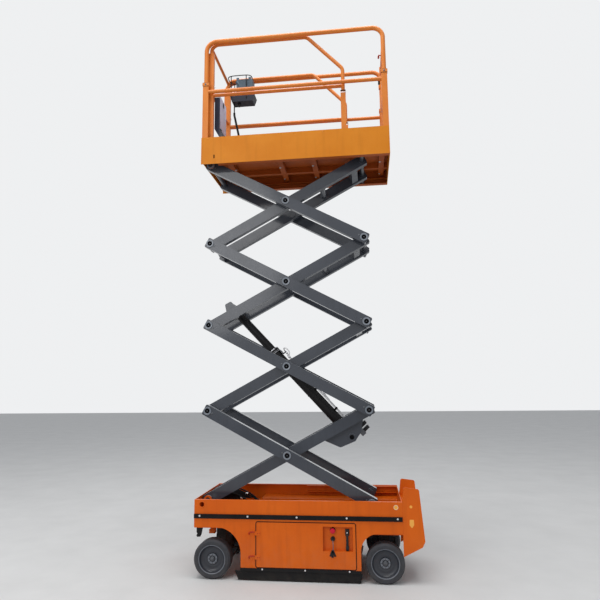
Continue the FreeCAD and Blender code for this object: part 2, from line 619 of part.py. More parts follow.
def skirts():
    """Side plates with both wheel arches, the door opening and a tie-down hole."""
    for name, side in SIDES:
        points = (("rear_x", "skirt_top"), ("rear_x", "rear_wing_low"), ("rear_bulk_x", "rear_wing_low"),
                  ("rear_bulk_x", "skirt_low"), ("front_bulk_x", "skirt_low"),
                  ("front_bulk_x", "front_wing_low"),
                  ("front_x", "front_wing_low"), ("front_x", "skirt_top"))
        sheet_metal = plate("skirt_plate_" + name, "XZ_Plane", points, "plate_wall",
                            (((2,), "rear_arch_curve"), ((5,), "front_arch_curve")))
        place(sheet_metal, "0", "skirt_face" if side > 0 else "-(skirt_back)", "0")
        doorway = plate("doorway_" + name, "XZ_Plane",
                        (("door_rear_x", "door_low"), ("door_front_x", "door_low"),
                         ("door_front_x", "door_high"),
                         ("door_rear_x", "door_high")), "3 * plate_wall", (((0, 1, 2, 3), "door_curve"),))
        place(doorway, "0", "skirt_face + plate_wall" if side > 0 else "-(skirt_back - plate_wall)", "0")
        hole = bar("tie_down_hole_" + name, "Y", "hole_radius", "front_x - hole_set",
                   span(side, "skirt_back - plate_wall", "skirt_face + plate_wall"), "hole_level")
        opened = cut("skirt_opened_" + name, sheet_metal, doorway, hole)
        flange = block("skirt_flange_" + name, ("rear_x + end_wall", "front_x - end_wall"),
                       span(side, "skirt_back - flange_width", "skirt_face"),
                       ("skirt_top - flange_wall", "skirt_top"))
        lugs = [opened, flange]
        near = "hinge_height / 2 + seat_play"
        for level, middle in HINGE_LEVELS:
            for where, low, high in (("above", near, near + " + hinge_lug"),
                                     ("below", "-(%s + hinge_lug)" % near, "-(%s)" % near)):
                lugs.append(bar("hinge_lug_%s_%s_%s" % (where, name, level), "Z", "hinge_radius", "hinge_x",
                                flip(side, "hinge_y"),
                                ("%s + %s" % (middle, low), "%s + %s" % (middle, high))))
        node(fuse("side_skirt_" + name, *lugs), "side_skirt_" + name)


HINGE_LEVELS = (("upper", "door_high - hinge_down"), ("lower", "door_low + hinge_up"))


def trim():
    """Rub strips along both sides and the sills above the pothole guards."""
    node(gather("rub_strips", *[
        block("rub_strip_" + name, ("rear_x", "front_x"), span(side, "skirt_face", "half_width"),
              ("strip_low", "strip_low + strip_height")) for name, side in SIDES]), "rub_strips")
    sills = []
    for name, side in SIDES:
        sills.append(block("sill_" + name, ("rear_bulk_x", "front_bulk_x"),
                           span(side, "skirt_back - sill_inset", "skirt_face + sill_proud"),
                           ("skirt_low - sill_height", "skirt_low")))
    node(gather("guard_sills", *sills), "guard_sills")


def doors():
    """Side doors that swing out on two hooked hinges; the left one has the control recess."""
    for name, side in SIDES:
        play = "door_play"
        points = (("door_rear_x + " + play, "door_low + " + play),
                  ("door_front_x - " + play, "door_low + " + play),
                  ("door_front_x - " + play, "door_high - " + play),
                  ("door_rear_x + " + play, "door_high - " + play))
        skin = plate("door_skin_" + name, "XZ_Plane", points, "plate_wall",
                     (((0, 1, 2, 3), "door_curve - door_play"),))
        place(skin, "0", "skirt_face" if side > 0 else "-(skirt_back)", "0")
        window = block("recess_window_" + name, ("recess_rear_x", "recess_front_x"),
                       span(side, "skirt_back - 1", "skirt_face + 1"), ("recess_low", "recess_high"))
        outer = block("recess_outer_" + name,
                      ("recess_rear_x - recess_wall", "recess_front_x + recess_wall"),
                      span(side, "skirt_face - recess_depth", "skirt_back"),
                      ("recess_low - recess_wall", "recess_high + recess_wall"))
        hollow = block("recess_hollow_" + name, ("recess_rear_x", "recess_front_x"),
                       span(side, "recess_floor", "skirt_face"), ("recess_low", "recess_high"))
        pieces = [cut("door_opened_" + name, skin, window), cut("recess_pan_" + name, outer, hollow)]
        for level, middle in HINGE_LEVELS:
            heights = (middle + " - hinge_height / 2", middle + " + hinge_height / 2")
            pieces.append(bar("hinge_barrel_%s_%s" % (level, name), "Z", "hinge_radius * 0.8",
                              "hinge_x", flip(side, "hinge_y"), heights))
            pieces.append(block("hinge_strap_%s_%s" % (level, name), ("door_front_x - hinge_foot", "hinge_x"),
                                span(side, "skirt_face + seat_play", "skirt_face + hinge_strap"), heights))
            pieces.append(block("hinge_foot_%s_%s" % (level, name),
                                ("door_front_x - hinge_foot", "door_front_x - hinge_weld"),
                                span(side, "skirt_face - plate_wall / 2", "skirt_face + hinge_strap"),
                                heights))
        node(fuse("door_" + name, *pieces), "door_" + name)
    stop_x = "recess_front_x - stop_set"
    stop_z = "recess_high - stop_down"
    pieces = [
        fuse("stop_switch",
             bar("stop_collar", "Y", "stop_radius * 0.7", stop_x,
                 ("recess_floor", "recess_floor + stop_radius"), stop_z),
             bar("stop_button", "Y", "stop_radius", stop_x,
                 ("recess_floor + stop_radius * 0.9", "recess_floor + recess_depth * 0.7"), stop_z)),
        bar("key_switch", "Y", "stop_radius * 0.7", stop_x,
            ("recess_floor", "recess_floor + stop_radius / 2"),
            "recess_high - key_down"),
    ]
    lever_x = ("recess_rear_x + lever_set", "recess_rear_x + lever_set + lever_width")
    lever_top = "recess_high - lever_width * 1.6"
    pieces.append(fuse("release",
                       block("release_stand", lever_x, ("recess_floor", "recess_floor + lever_width * 0.75"),
                             (lever_top + " - lever_width", lever_top)),
                       block("release_lever", lever_x,
                             ("recess_floor + lever_width * 0.65", "recess_floor + lever_width * 1.25"),
                             (lever_top + " - lever_height", lever_top))))
    node(gather("ground_controls", *pieces), "ground_controls")


def guards():
    """Pothole guards, hinged under the sills and folded down while the platform is up."""
    for name, side in SIDES:
        points = (("guard_rear_x", "guard_axis_z"), ("guard_rear_x + guard_slope / 2", "guard_clear"),
                  ("guard_front_x - guard_slope", "guard_clear"), ("guard_front_x", "guard_axis_z"))
        leaf = plate("guard_leaf_" + name, "XZ_Plane", points, "guard_wall")
        place(leaf, "0", "guard_axis_y + guard_wall / 2" if side > 0 else "-(guard_axis_y - guard_wall / 2)",
              "0")
        pipe = bar("guard_pipe_" + name, "X", "guard_pipe", ("guard_rear_x", "guard_front_x"),
                   flip(side, "guard_axis_y"), "guard_axis_z")
        node(fuse("pothole_guard_" + name, leaf, pipe), "pothole_guard_" + name)


def blocks():
    """The battery pack and the power unit, as plain blocks on the floor."""
    for name, side in (("battery_pack", 1), ("power_unit", -1)):
        near = "well_half + cover_wall + block_side_gap"
        node(block(name, ("rear_bulk_x + block_rear_gap", "front_bulk_x - block_front_gap"),
                   span(side, near, near + " + block_width"), ("block_level", "block_level + block_height")),
                   name)


def axles():
    """Front axle with its yokes, rear axle with its spindles, both hung from the wheel decks."""
    front = [
        block("front_beam", ("front_axle_x - axle_half", "front_axle_x + axle_half"),
              ("-(kingpin_y - yoke_radius)", "kingpin_y - yoke_radius"), ("yoke_low", "yoke_high")),
        block("front_pedestal", ("front_axle_x - axle_half", "front_axle_x + axle_half"),
              ("-(front_pedestal_half)", "front_pedestal_half"),
              ("yoke_high", "front_wing_low - plate_wall")),
    ]
    bores = []
    for name, side in SIDES:
        for where, low, high in (("lower", "yoke_low", "yoke_low + yoke_wall"),
                                 ("upper", "yoke_high - yoke_wall", "yoke_high")):
            front.append(block("yoke_%s_%s" % (where, name),
                               ("front_axle_x - yoke_radius", "front_axle_x + yoke_radius"),
                               span(side, "kingpin_y - yoke_radius", "kingpin_y"), (low, high)))
            front.append(bar("yoke_end_%s_%s" % (where, name), "Z", "yoke_radius", "front_axle_x",
                             flip(side, "kingpin_y"), (low, high)))
        bores.append(bar("kingpin_bore_" + name, "Z", "kingpin_radius + spin_play", "front_axle_x",
                         flip(side, "kingpin_y"), ("yoke_low - yoke_wall", "yoke_high + yoke_wall")))
    node(cut("front_axle", fuse("front_axle_solid", *front), *bores), "front_axle")
    rear = [
        block("rear_beam", ("rear_axle_x - axle_half", "rear_axle_x + axle_half"),
              ("-(kingpin_y + rear_beam_over)", "kingpin_y + rear_beam_over"),
              ("wheel_radius - axle_half", "wheel_radius + axle_half")),
        block("rear_pedestal", ("rear_axle_x - axle_half", "rear_axle_x + axle_half"),
              ("-(kingpin_y - axle_half)", "kingpin_y - axle_half"),
              ("wheel_radius + axle_half", "rear_wing_low - plate_wall")),
        bar("rear_spindles", "Y", "spindle_radius", "rear_axle_x",
            ("-(wheel_mid + hub_proud - spindle_set)", "wheel_mid + hub_proud - spindle_set"),
            "wheel_radius"),
    ]
    node(fuse("rear_axle", *rear), "rear_axle")


def knuckles():
    """Steering knuckles: kingpin, post, wheel motor drum, spindle and steering arm."""
    for name, side in SIDES:
        centre = flip(side, "kingpin_y")
        pieces = [
            bar("kingpin_" + name, "Z", "kingpin_radius", "front_axle_x", centre,
                ("steer_level", "yoke_high - 1")),
            bar("knuckle_post_" + name, "Z", "knuckle_radius", "front_axle_x", centre,
                ("wheel_radius - knuckle_half", "wheel_radius + knuckle_half")),
            bar("motor_" + name, "Y", "motor_radius", "front_axle_x",
                span(side, "kingpin_y + motor_set", "motor_face"), "wheel_radius"),
            bar("motor_flange_" + name, "Y", "motor_flange", "front_axle_x",
                span(side, "motor_face", "motor_face + motor_flange_wall"), "wheel_radius"),
            bar("spindle_" + name, "Y", "spindle_radius", "front_axle_x",
                span(side, "kingpin_y", "wheel_mid + hub_proud - spindle_set"), "wheel_radius"),
            bar("steer_boss_" + name, "Z", "steer_eye + 6", "front_axle_x", centre,
                ("steer_level", "steer_level + steer_wall")),
            block("steer_arm_" + name, ("front_axle_x - steer_reach", "front_axle_x"),
                  ("%s - steer_eye * 0.8" % centre, "%s + steer_eye * 0.8" % centre),
                  ("steer_level", "steer_level + steer_wall")),
            bar("steer_end_" + name, "Z", "steer_eye", "front_axle_x - steer_reach", centre,
                ("steer_level", "steer_level + steer_wall")),
            bar("steer_pin_" + name, "Z", "steer_pin", "front_axle_x - steer_reach", centre,
                ("tie_level - tie_radius - 5", "steer_level + steer_wall + 4")),
        ]
        node(fuse("knuckle_" + name, *pieces), "knuckle_" + name)
    tie_x = "front_axle_x - steer_reach"
    pieces = [bar("tie_bar", "Y", "tie_radius", tie_x, ("-(kingpin_y)", "kingpin_y"), "tie_level")]
    bores = []
    for name, side in SIDES:
        eye = flip(side, "kingpin_y")
        pieces.append(bar("tie_eye_" + name, "Z", "steer_eye", tie_x, eye,
                          ("tie_level - tie_radius - 1", "tie_level + tie_radius + 1")))
        bores.append(bar("tie_bore_" + name, "Z", "steer_pin + spin_play", tie_x, eye,
                         ("tie_level - 20", "tie_level + 20")))
    node(cut("tie_rod", fuse("tie_solid", *pieces), *bores), "tie_rod")


def wheels():
    """Solid tyres and dished rims."""
    half = "tyre_width / 2"
    tyre = (("-(%s)" % half, "tyre_bead"), ("-(%s)" % half, "wheel_radius - tyre_shoulder"),
            ("-(%s) + tyre_shoulder" % half, "wheel_radius"), (half + " - tyre_shoulder", "wheel_radius"),
            (half, "wheel_radius - tyre_shoulder"), (half, "tyre_bead"))
    lip = half + " - rim_inset"
    bore = "spindle_radius + spin_play"
    deep = "tyre_bead - 1.5 * rim_wall"
    rim = (("-(%s)" % lip, "tyre_bead"), (lip, "tyre_bead"), (lip, "tyre_bead - rim_wall"),
           ("web_out", deep), ("web_out", "hub_radius"), ("hub_proud", "hub_radius * 0.9"),
           ("hub_proud", bore), ("-(hub_back)", bore), ("-(hub_back)", "hub_radius"),
           ("web_out - web_wall", "hub_radius"), ("web_out - web_wall", deep),
           ("-(%s)" % lip, "tyre_bead - rim_wall"))
    for end, axle in (("front", "front_axle_x"), ("rear", "rear_axle_x")):
        for name, side in SIDES:
            tag = "%s_%s" % (end, name)
            for kind, points in (("tyre_", tyre), ("rim_", rim)):
                wheel = turned(kind + tag, points, side)
                place(wheel, axle, flip(side, "wheel_mid"), "wheel_radius")
                node(wheel, kind + tag)


def ladder():
    """Rear ladder: two side plates and their treads, behind the left half of the rear plate."""
    low = "rear_wing_low - ladder_low"
    corners = (("rear_x - ladder_mount", "skirt_top + ladder_rise"),
               ("rear_x - ladder_neck", "skirt_top + ladder_rise - ladder_slope"),
               ("ladder_x", low + " + ladder_chamfer / 2"),
               ("ladder_x + ladder_chamfer / 2", low + " - ladder_chamfer / 2"),
               ("rear_x", "rear_wing_low - ladder_foot"), ("rear_x", "skirt_top - ladder_mount"))
    pieces = []
    for name, y in (("near", "ladder_y"), ("far", "ladder_y - ladder_width + ladder_wall")):
        side_plate = plate("ladder_side_" + name, "XZ_Plane", corners, "ladder_wall",
                           (((0, 1), "ladder_mount - 1"),))
        pieces.append(place(side_plate, "0", y, "0"))
    across = ("ladder_y - ladder_width + ladder_wall / 2", "ladder_y - ladder_wall / 2")
    lip = "ladder_x + tread_inset"
    for index in range(int(number("tread_count"))):
        level = "rear_wing_low - tread_first + %d * tread_pitch" % index
        pieces.append(block("tread_%d" % index, (lip, "rear_x"), across, (level, level + " + ladder_wall")))
        pieces.append(block("tread_lip_%d" % index, (lip, lip + " + ladder_wall"), across,
                            (level + " - tread_lip_height", level + " + ladder_wall")))
    node(fuse("rear_ladder", *pieces), "rear_ladder")


def arm_tube(tag, side, near, far):
    """One side's closed arm tube with rounded ends, in the arm's own frame."""
    low, high = "-(arm_depth / 2)", "arm_depth / 2"
    tube = plate("arm_tube_%s" % tag, "XZ_Plane",
                 (("-(arm_span) - arm_tail", low), ("arm_tail", low), ("arm_tail", high),
                  ("-(arm_span) - arm_tail", high)), "arm_width", (((0, 1, 2, 3), "arm_corner"),))
    return place(tube, "0", far if side > 0 else "-(%s)" % near, "0")


def along_pins(tag, radius, low, high, stations):
    """Round bars across the machine at stations along an arm, both sides."""
    bars = []
    for station, where in stations:
        for name, side in SIDES:
            bars.append(bar("%s_%s_%s" % (tag, station, name), "Y", radius, where, span(side, low, high),
                            "0"))
    return bars


STATIONS = (("front", "0"), ("middle", "-(arm_span) / 2"), ("rear", "-(arm_span)"))


def set_arm(item, level, slope):
    """Turns a finished arm about its front pin and puts it at its level in the stack."""
    item.Placement = Placement(Vector(), Rotation(Vector(0, 1, 0), 1))
    item.setExpression("Placement.Rotation.Angle", formula(slope))
    place(item, "pin_x", "0", level)


def outer_arm(stage):
    """Outer arm frame: front end up. Its pins run through the inner arms; boss rings show outside."""
    tag = "outer%d" % stage
    inside = "arm_face - arm_width"
    pieces = [arm_tube("%s_%s" % (tag, name), side, inside, "arm_face") for name, side in SIDES]
    pieces += along_pins(tag + "_boss", "boss_radius", inside + " - washer", "arm_face + boss_proud",
                         STATIONS)
    recesses = along_pins(tag + "_recess", "pin_radius * 1.05", "arm_face + boss_proud - pin_recess",
                          "arm_face + 2 * boss_proud", STATIONS)
    body = cut(tag + "_body", fuse(tag + "_weld", *pieces), *recesses)
    through = ("-(%s)" % inside, inside)
    parts = [body, bar(tag + "_front_pin", "Y", "pin_radius", "0", through, "0")]
    parts += along_pins(tag + "_stub", "pin_radius", "inner_back - washer + pin_recess", inside,
                        STATIONS[1:2])
    if stage > 1:
        parts.append(bar(tag + "_rear_pin", "Y", "pin_radius", "-(arm_span)", through, "0"))
    else:
        parts += along_pins(tag + "_rear_pin", "pin_radius", inside + " - roller_stub", "roller_out",
                            STATIONS[2:])
        parts += along_pins(tag + "_roller", "roller_radius", "roller_out - roller_width", "roller_out",
                            STATIONS[2:])
    if stage == 4:
        reach = "arm_face + boss_proud + seat_play + pivot_wall + pin_over"
        parts += along_pins(tag + "_top_pin", "pin_radius", inside, reach, STATIONS[:1])
    arm = fuse("outer_arm_%d" % stage, *parts)
    set_arm(arm, "pin_level + %d * stage_rise" % stage, "-(arm_angle)")
    return node(arm, "outer_arm_%d" % stage)


def inner_arm(stage):
    """Inner arm frame: front end down, two tubes joined by cross members."""
    tag = "inner%d" % stage
    pieces = [arm_tube("%s_%s" % (tag, name), side, "inner_back", "inner_face") for name, side in SIDES]
    pieces += along_pins(tag + "_boss", "boss_radius", "inner_back - washer", "inner_face + washer", STATIONS)
    across = ("-(inner_back + bracket_weld)", "inner_back + bracket_weld")
    tube_at = "-(arm_span) + " + ("tie_tube_first" if stage == 1 else "tie_tube_mid")
    pieces.append(bar(tag + "_tie_tube", "Y", "tie_tube_radius", tube_at, across, "0"))
    if stage > 1:
        middle = "-(arm_span) + tie_tube_end"
        pieces.append(block(tag + "_tie_box",
                            (middle + " - tie_box_length / 2", middle + " + tie_box_length / 2"),
                            across, ("-(tie_box_depth) / 2", "tie_box_depth / 2")))
    bored = STATIONS[1:] if stage == 1 else STATIONS
    bored = bored[:-1] if stage == 4 else bored
    bores = along_pins(tag + "_bore", "pin_radius + spin_play", "inner_back - arm_gap",
                       "inner_face + arm_gap", bored)
    if stage == 1:
        pieces += lift_foot(tag)
        reach = "inner_face + washer + seat_play + pivot_wall * 0.9"
        pieces.append(bar(tag + "_base_pin", "Y", "pin_radius", "0", ("-(%s)" % reach, reach), "0"))
    if stage == 3:
        pieces += lift_head(tag)
    if stage == 4:
        pieces.append(bar(tag + "_top_pin", "Y", "pin_radius", "-(arm_span)",
                          ("-(top_roller_out)", "top_roller_out"), "0"))
        pieces += along_pins(tag + "_roller", "roller_radius", "top_roller_out - roller_width",
                             "top_roller_out",
                             STATIONS[2:])
    arm = cut("inner_arm_%d" % stage, fuse(tag + "_weld", *pieces), *bores)
    set_arm(arm, "pin_level + %d * stage_rise" % (stage - 1), "arm_angle")
    return node(arm, "inner_arm_%d" % stage)


def lift_plates(tag, points, rounds, seat):
    """A pair of bracket plates inside an arm frame, on spacers that join them to its tubes.

    seat holds the spacers' low and high formulas along the arm and across it."""
    pieces = []
    for name, side in SIDES:
        web = plate("%s_plate_%s" % (tag, name), "XZ_Plane", points, "bracket_wall", rounds)
        pieces.append(place(web, "0", "plate_out" if side > 0 else "-(plate_out - bracket_wall)", "0"))
        pieces.append(block("%s_seat_%s" % (tag, name), seat[0],
                            span(side, "plate_out - bracket_wall / 2", "inner_back + bracket_weld"), seat[1]))
    return pieces


def lift_foot(tag):
    """Plates under the first inner arm and the cylinder's foot pin between them."""
    foot = "-(lift_foot_along)"
    top = "-(arm_depth / 2) + bracket_seat"
    points = ((foot + " + foot_plate_front", top),
              (foot + " + foot_plate_front * 0.52", "-(lift_foot_drop) - foot_rim"),
              (foot + " - foot_rim / 3", "-(lift_foot_drop) - foot_rim * 1.45"),
              (foot + " - foot_plate_rear / 2", "-(lift_foot_drop)"), (foot + " - foot_plate_rear", top))
    seat = ((foot + " - foot_plate_rear * 0.8", foot + " + foot_plate_front * 0.8"),
            (top + " - bracket_seat * 0.9", top))
    pin = bar(tag + "_foot_pin", "Y", "lift_pin_radius", foot, ("-(plate_out)", "plate_out"),
              "-(lift_foot_drop)")
    return [pin] + lift_plates(tag + "_foot", points, (((1, 3), "foot_rim"),), seat)


def lift_head(tag):
    """Plates above the third inner arm that carry the split head pin with its ears."""
    head = "-(lift_head_along)"
    low = "arm_depth / 2 - bracket_seat"
    rim = "lift_head_rise + tie_tube_radius + bracket_wall"
    points = ((head + " - head_plate", low), (head + " - head_plate / 2", rim),
              (head + " + head_plate / 2", rim),
              (head + " + head_plate", low))
    seat = ((head + " - head_plate * 0.8", head + " + head_plate * 0.8"),
            (low, low + " + bracket_seat * 0.9"))
    pieces = lift_plates(tag + "_head", points, (((1, 2), "foot_rim / 2"),), seat)
    for name, side in SIDES:
        pieces.append(bar("%s_head_pin_%s" % (tag, name), "Y", "tie_tube_radius", head,
                          span(side, "head_gap + bracket_wall", "plate_out"), "lift_head_rise"))
        pieces.append(bar("%s_head_ear_%s" % (tag, name), "Y", "lift_eye_radius", head,
                          span(side, "head_gap", "head_gap + bracket_wall * 1.75"), "lift_head_rise"))
    return pieces


def cylinder():
    """Lift cylinder: barrel with its foot eye and gland, and the rod with its head eye."""
    eye = ("-(lift_eye_half)", "lift_eye_half")
    across = ("-(lift_eye_half + bracket_wall)", "lift_eye_half + bracket_wall")
    shell = fuse("barrel_shell",
                 bar("barrel_tube", "X", "barrel_radius", ("lift_eye_radius * 0.8", "barrel_length"), "0",
                     "0"),
                 bar("barrel_gland", "X", "gland_radius", ("barrel_length - gland_length", "barrel_length"),
                     "0", "0"),
                 bar("barrel_eye", "Y", "lift_eye_radius", "0", eye, "0"))
    bore = bar("barrel_bore", "X", "ram_radius + spin_play",
               ("lift_eye_radius + barrel_end_wall", "barrel_length + gland_length"), "0", "0")
    barrel = cut("lift_barrel", shell, bore,
                 bar("barrel_eye_bore", "Y", "lift_pin_radius + spin_play", "0", across, "0"))
    ram_solid = fuse("ram_solid",
                     bar("ram_bar", "X", "ram_radius",
                         ("ram_tail_set", "lift_length - lift_eye_radius * 0.8"),
                         "0", "0"),
                     bar("ram_eye", "Y", "lift_eye_radius", "lift_length", eye, "0"))
    ram = cut("lift_ram", ram_solid,
              bar("ram_eye_bore", "Y", "lift_pin_radius * 1.05", "lift_length", across, "0"))
    for item in (barrel, ram):
        item.Placement = Placement(Vector(), Rotation(Vector(0, 1, 0), -1))
        item.setExpression("Placement.Rotation.Angle", formula("-(lift_tilt)"))
        place(item, "foot_x", "0", "foot_z")
    node(barrel, "lift_barrel")
    node(ram, "lift_ram")


def platform():
    """Deck on cross members with its roller channels and pivots, and the panels round it."""
    under = ("deck_top - deck_wall - joist_depth", "deck_top - deck_wall")
    inside = ("-(deck_half - panel_wall)", "deck_half - panel_wall")
    length = ("deck_rear_x + panel_wall", "deck_front_x - panel_wall")
    pieces = [block("deck_plate", length, inside, ("deck_top - deck_wall", "deck_top"))]
    rear_joists = ["deck_rear_x + joist_set + %d * joist_pitch" % index for index in range(4)]
    front_joists = ["deck_front_x - joist_front_set - %d * joist_front_pitch" % index for index in range(2)]
    for index, where in enumerate(rear_joists + front_joists):
        pieces.append(block("joist_%d" % index, (where, where + " + joist_width"), inside, under))
    pivot = "arm_face + boss_proud + seat_play"
    for name, side in SIDES:
        thick = span(side, pivot, pivot + " + pivot_wall")
        pieces.append(block("stringer_" + name, length,
                            span(side, "stringer_set", "stringer_set + stringer_width"),
                            under))
        pieces.extend(roller_channel("deck_channel_" + name, side, (length[0], "pin_x - channel_gap"),
                                     "deck_half - panel_wall", "top_roller_out", "top_pin_level"))
        pieces.append(block("deck_hanger_" + name, (length[0], "pin_x - channel_gap"),
                            span(side, "deck_half - panel_wall - channel_wall", "deck_half - panel_wall"),
                            ("top_pin_level", "deck_top - deck_wall")))
        pieces.append(block("deck_pivot_" + name, ("pin_x - boss_radius", "pin_x + boss_radius"), thick,
                            ("top_pin_level", "deck_top - deck_wall")))
        pieces.append(bar("deck_pivot_end_" + name, "Y", "boss_radius", "pin_x", thick, "top_pin_level"))
    reach = pivot + " + 2 * pivot_wall"
    bore = bar("deck_pivot_bore", "Y", "pin_radius + spin_play", "pin_x", ("-(%s)" % reach, reach),
               "top_pin_level")
    node(cut("platform_frame", fuse("platform_solid", *pieces), bore), "platform_frame")
    board_top = "deck_low + panel_height"
    panels = [block("rear_end_plate", ("deck_rear_x", length[0]), inside, ("deck_low", "deck_top")),
              block("front_end_plate", (length[1], "deck_front_x"), inside,
                    ("deck_low + end_plate_rise", "deck_top"))]
    for name, side in SIDES:
        panels.append(block("side_panel_" + name, ("deck_rear_x", "deck_front_x"),
                            span(side, "deck_half - panel_wall", "deck_half"), ("deck_low", board_top)))
        panels.append(block("rear_toe_" + name, ("deck_rear_x", length[0]),
                            span(side, "gate_post_set - gate_post_radius", "rail_y - post_width / 2 - 1"),
                            ("deck_top - deck_wall", board_top)))
    node(fuse("platform_panels", *panels), "platform_panels")


def guardrails():
    """Side loops on square posts with folding collars, mid rails, and the rear returns to the gate posts."""
    pieces = []
    for name, side in SIDES:
        y = flip(side, "rail_y")
        foot = "post_top - collar_height / 2"
        pieces.append(bent_tube("rail_loop_" + name,
                                (("rear_post_x", y, foot), ("rear_post_x", y, "rail_top"),
                                 ("front_post_x", y, "rail_top"), ("front_post_x", y, foot)),
                                "rail_radius", "rail_bend"))
        for end, x in (("rear", "rear_post_x"), ("front", "front_post_x")):
            tag = "%s_%s" % (end, name)
            for kind, grow, heights in (("post", "0", ("deck_top", "post_top")),
                                        ("collar", "collar_proud", ("post_top - collar_height", "post_top"))):
                half_x = "(post_depth / 2 + %s)" % grow
                half_y = "(post_width / 2 + %s)" % grow
                pieces.append(block("rail_%s_%s" % (kind, tag),
                                    ("%s - %s" % (x, half_x), "%s + %s" % (x, half_x)),
                                    ("%s - %s" % (y, half_y), "%s + %s" % (y, half_y)), heights))
        pieces.append(bar("mid_rail_" + name, "X", "mid_rail_radius", ("rear_post_x", "front_post_x"), y,
                          "deck_low + mid_rail_rise"))
        pieces.append(bar("gate_post_" + name, "Z", "gate_post_radius", "gate_x", flip(side, "gate_post_set"),
                          ("deck_top", "rail_top")))
        for where, level in (("top", "rail_top - rail_bend"), ("mid", "deck_low + mid_rail_rise")):
            pieces.append(bar("rear_return_%s_%s" % (where, name), "Y", "gate_tube_radius", "gate_x",
                              span(side, "gate_post_set", "rail_y"), level))
    for index, (low, high) in enumerate(GATE_HINGES):
        pieces.append(block("gate_bracket_%d" % index,
                            ("gate_x + gate_post_radius * 0.7", "gate_hinge_x + gate_barrel * 0.8"),
                            ("-(gate_post_set)", "-(gate_hinge_y - gate_barrel * 0.8)"),
                            (low, low + " + gate_ear")))
        pieces.append(bar("gate_pin_%d" % index, "Z", "gate_pin", "gate_hinge_x", "-(gate_hinge_y)",
                          (low, high)))
    node(fuse("guardrails", *pieces), "guardrails")


GATE_HINGES = tuple((low, low + " + gate_hinge_height")
                    for low in ("gate_base + gate_hinge_set", "gate_top - gate_hinge_set"))


def gate():
    """Entry gate between the gate posts, hinged on the right and opening inward."""
    hinge_side = "-(gate_half - gate_tube_radius)"
    latch_side = "gate_half - gate_tube_radius"
    pieces = [
        bar("gate_stile_hinge", "Z", "gate_tube_radius", "gate_x", hinge_side, ("gate_base", "gate_top")),
        bar("gate_stile_latch", "Z", "gate_tube_radius", "gate_x", latch_side, ("gate_base", "gate_top")),
        block("gate_toe", ("gate_x - panel_wall / 2", "gate_x + panel_wall / 2"), (hinge_side, latch_side),
              ("gate_base", "gate_base + gate_toe_height")),
    ]
    for where, level in (("top", "gate_top - gate_tube_radius"), ("mid", "deck_low + mid_rail_rise")):
        pieces.append(bar("gate_rail_" + where, "Y", "gate_tube_radius * 0.93", "gate_x",
                          (hinge_side, latch_side),
                          level))
    bores = []
    for index, (low, high) in enumerate(GATE_HINGES):
        heights = (low + " + gate_ear + seat_play", high)
        pieces.append(bar("gate_barrel_%d" % index, "Z", "gate_barrel", "gate_hinge_x", "-(gate_hinge_y)",
                          heights))
        pieces.append(block("gate_knuckle_%d" % index, ("gate_x + gate_pin", "gate_hinge_x"),
                            ("-(gate_hinge_y)", hinge_side), heights))
        bores.append(bar("gate_bore_%d" % index, "Z", "gate_pin + spin_play", "gate_hinge_x",
                         "-(gate_hinge_y)",
                         (low, high + " + gate_ear")))
    node(cut("entry_gate", fuse("gate_solid", *pieces), *bores), "entry_gate")


def extension():
    """Roll-out deck with side and front toe boards, and its nested rails."""
    board_top = "deck_low + panel_height"
    base = "deck_top + seat_play"
    pieces = [
        block("slide_plate", ("slide_rear_x", "slide_front_x"), ("-(slide_half)", "slide_half"),
              (base, "slide_top")),
        block("slide_front_board", ("slide_front_x - slide_wall", "slide_front_x"),
              ("-(slide_half)", "slide_half"),
              (base, board_top)),
    ]
    for name, side in SIDES:
        pieces.append(block("slide_board_" + name, ("slide_rear_x", "slide_front_x"),
                            span(side, "slide_half - slide_wall", "slide_half"), (base, board_top)))
    node(fuse("extension_deck", *pieces), "extension_deck")
    rails = []
    for name, side in SIDES:
        y = flip(side, "nest_y")
        rails.append(bent_tube("nest_loop_" + name,
                               (("nest_rear_x", y, "nest_post_top - collar_height / 2"),
                                ("nest_rear_x", y, "deck_low + nest_knee_rise"),
                                ("nest_rear_x + nest_run", y, "nest_top"), ("nest_front_x", y, "nest_top"),
                                ("nest_front_x", y, "nest_front_top - collar_height / 2")),
                               "nest_radius", "nest_bend"))
        for end, x, depth, top in (("rear", "nest_rear_x", "nest_socket_depth", "nest_post_top"),
                                   ("front", "nest_front_x", "nest_front_depth", "nest_front_top")):
            rails.append(block("nest_post_%s_%s" % (end, name),
                               ("%s - %s / 2" % (x, depth), "%s + %s / 2" % (x, depth)),
                               ("%s - nest_socket_width / 2" % y, "%s + nest_socket_width / 2" % y),
                               ("slide_top", top)))
        rails.append(bar("nest_mid_" + name, "X", "nest_radius * 0.94", ("nest_rear_x", "nest_front_x"), y,
                         "nest_mid"))
    for where, level in (("top", "front_rail_z"), ("mid", "deck_low + front_mid_rise")):
        rails.append(bar("front_rail_" + where, "Y", "front_rail_radius", "nest_front_x",
                         ("-(nest_y)", "nest_y"), level))
    node(fuse("extension_rails", *rails), "extension_rails")


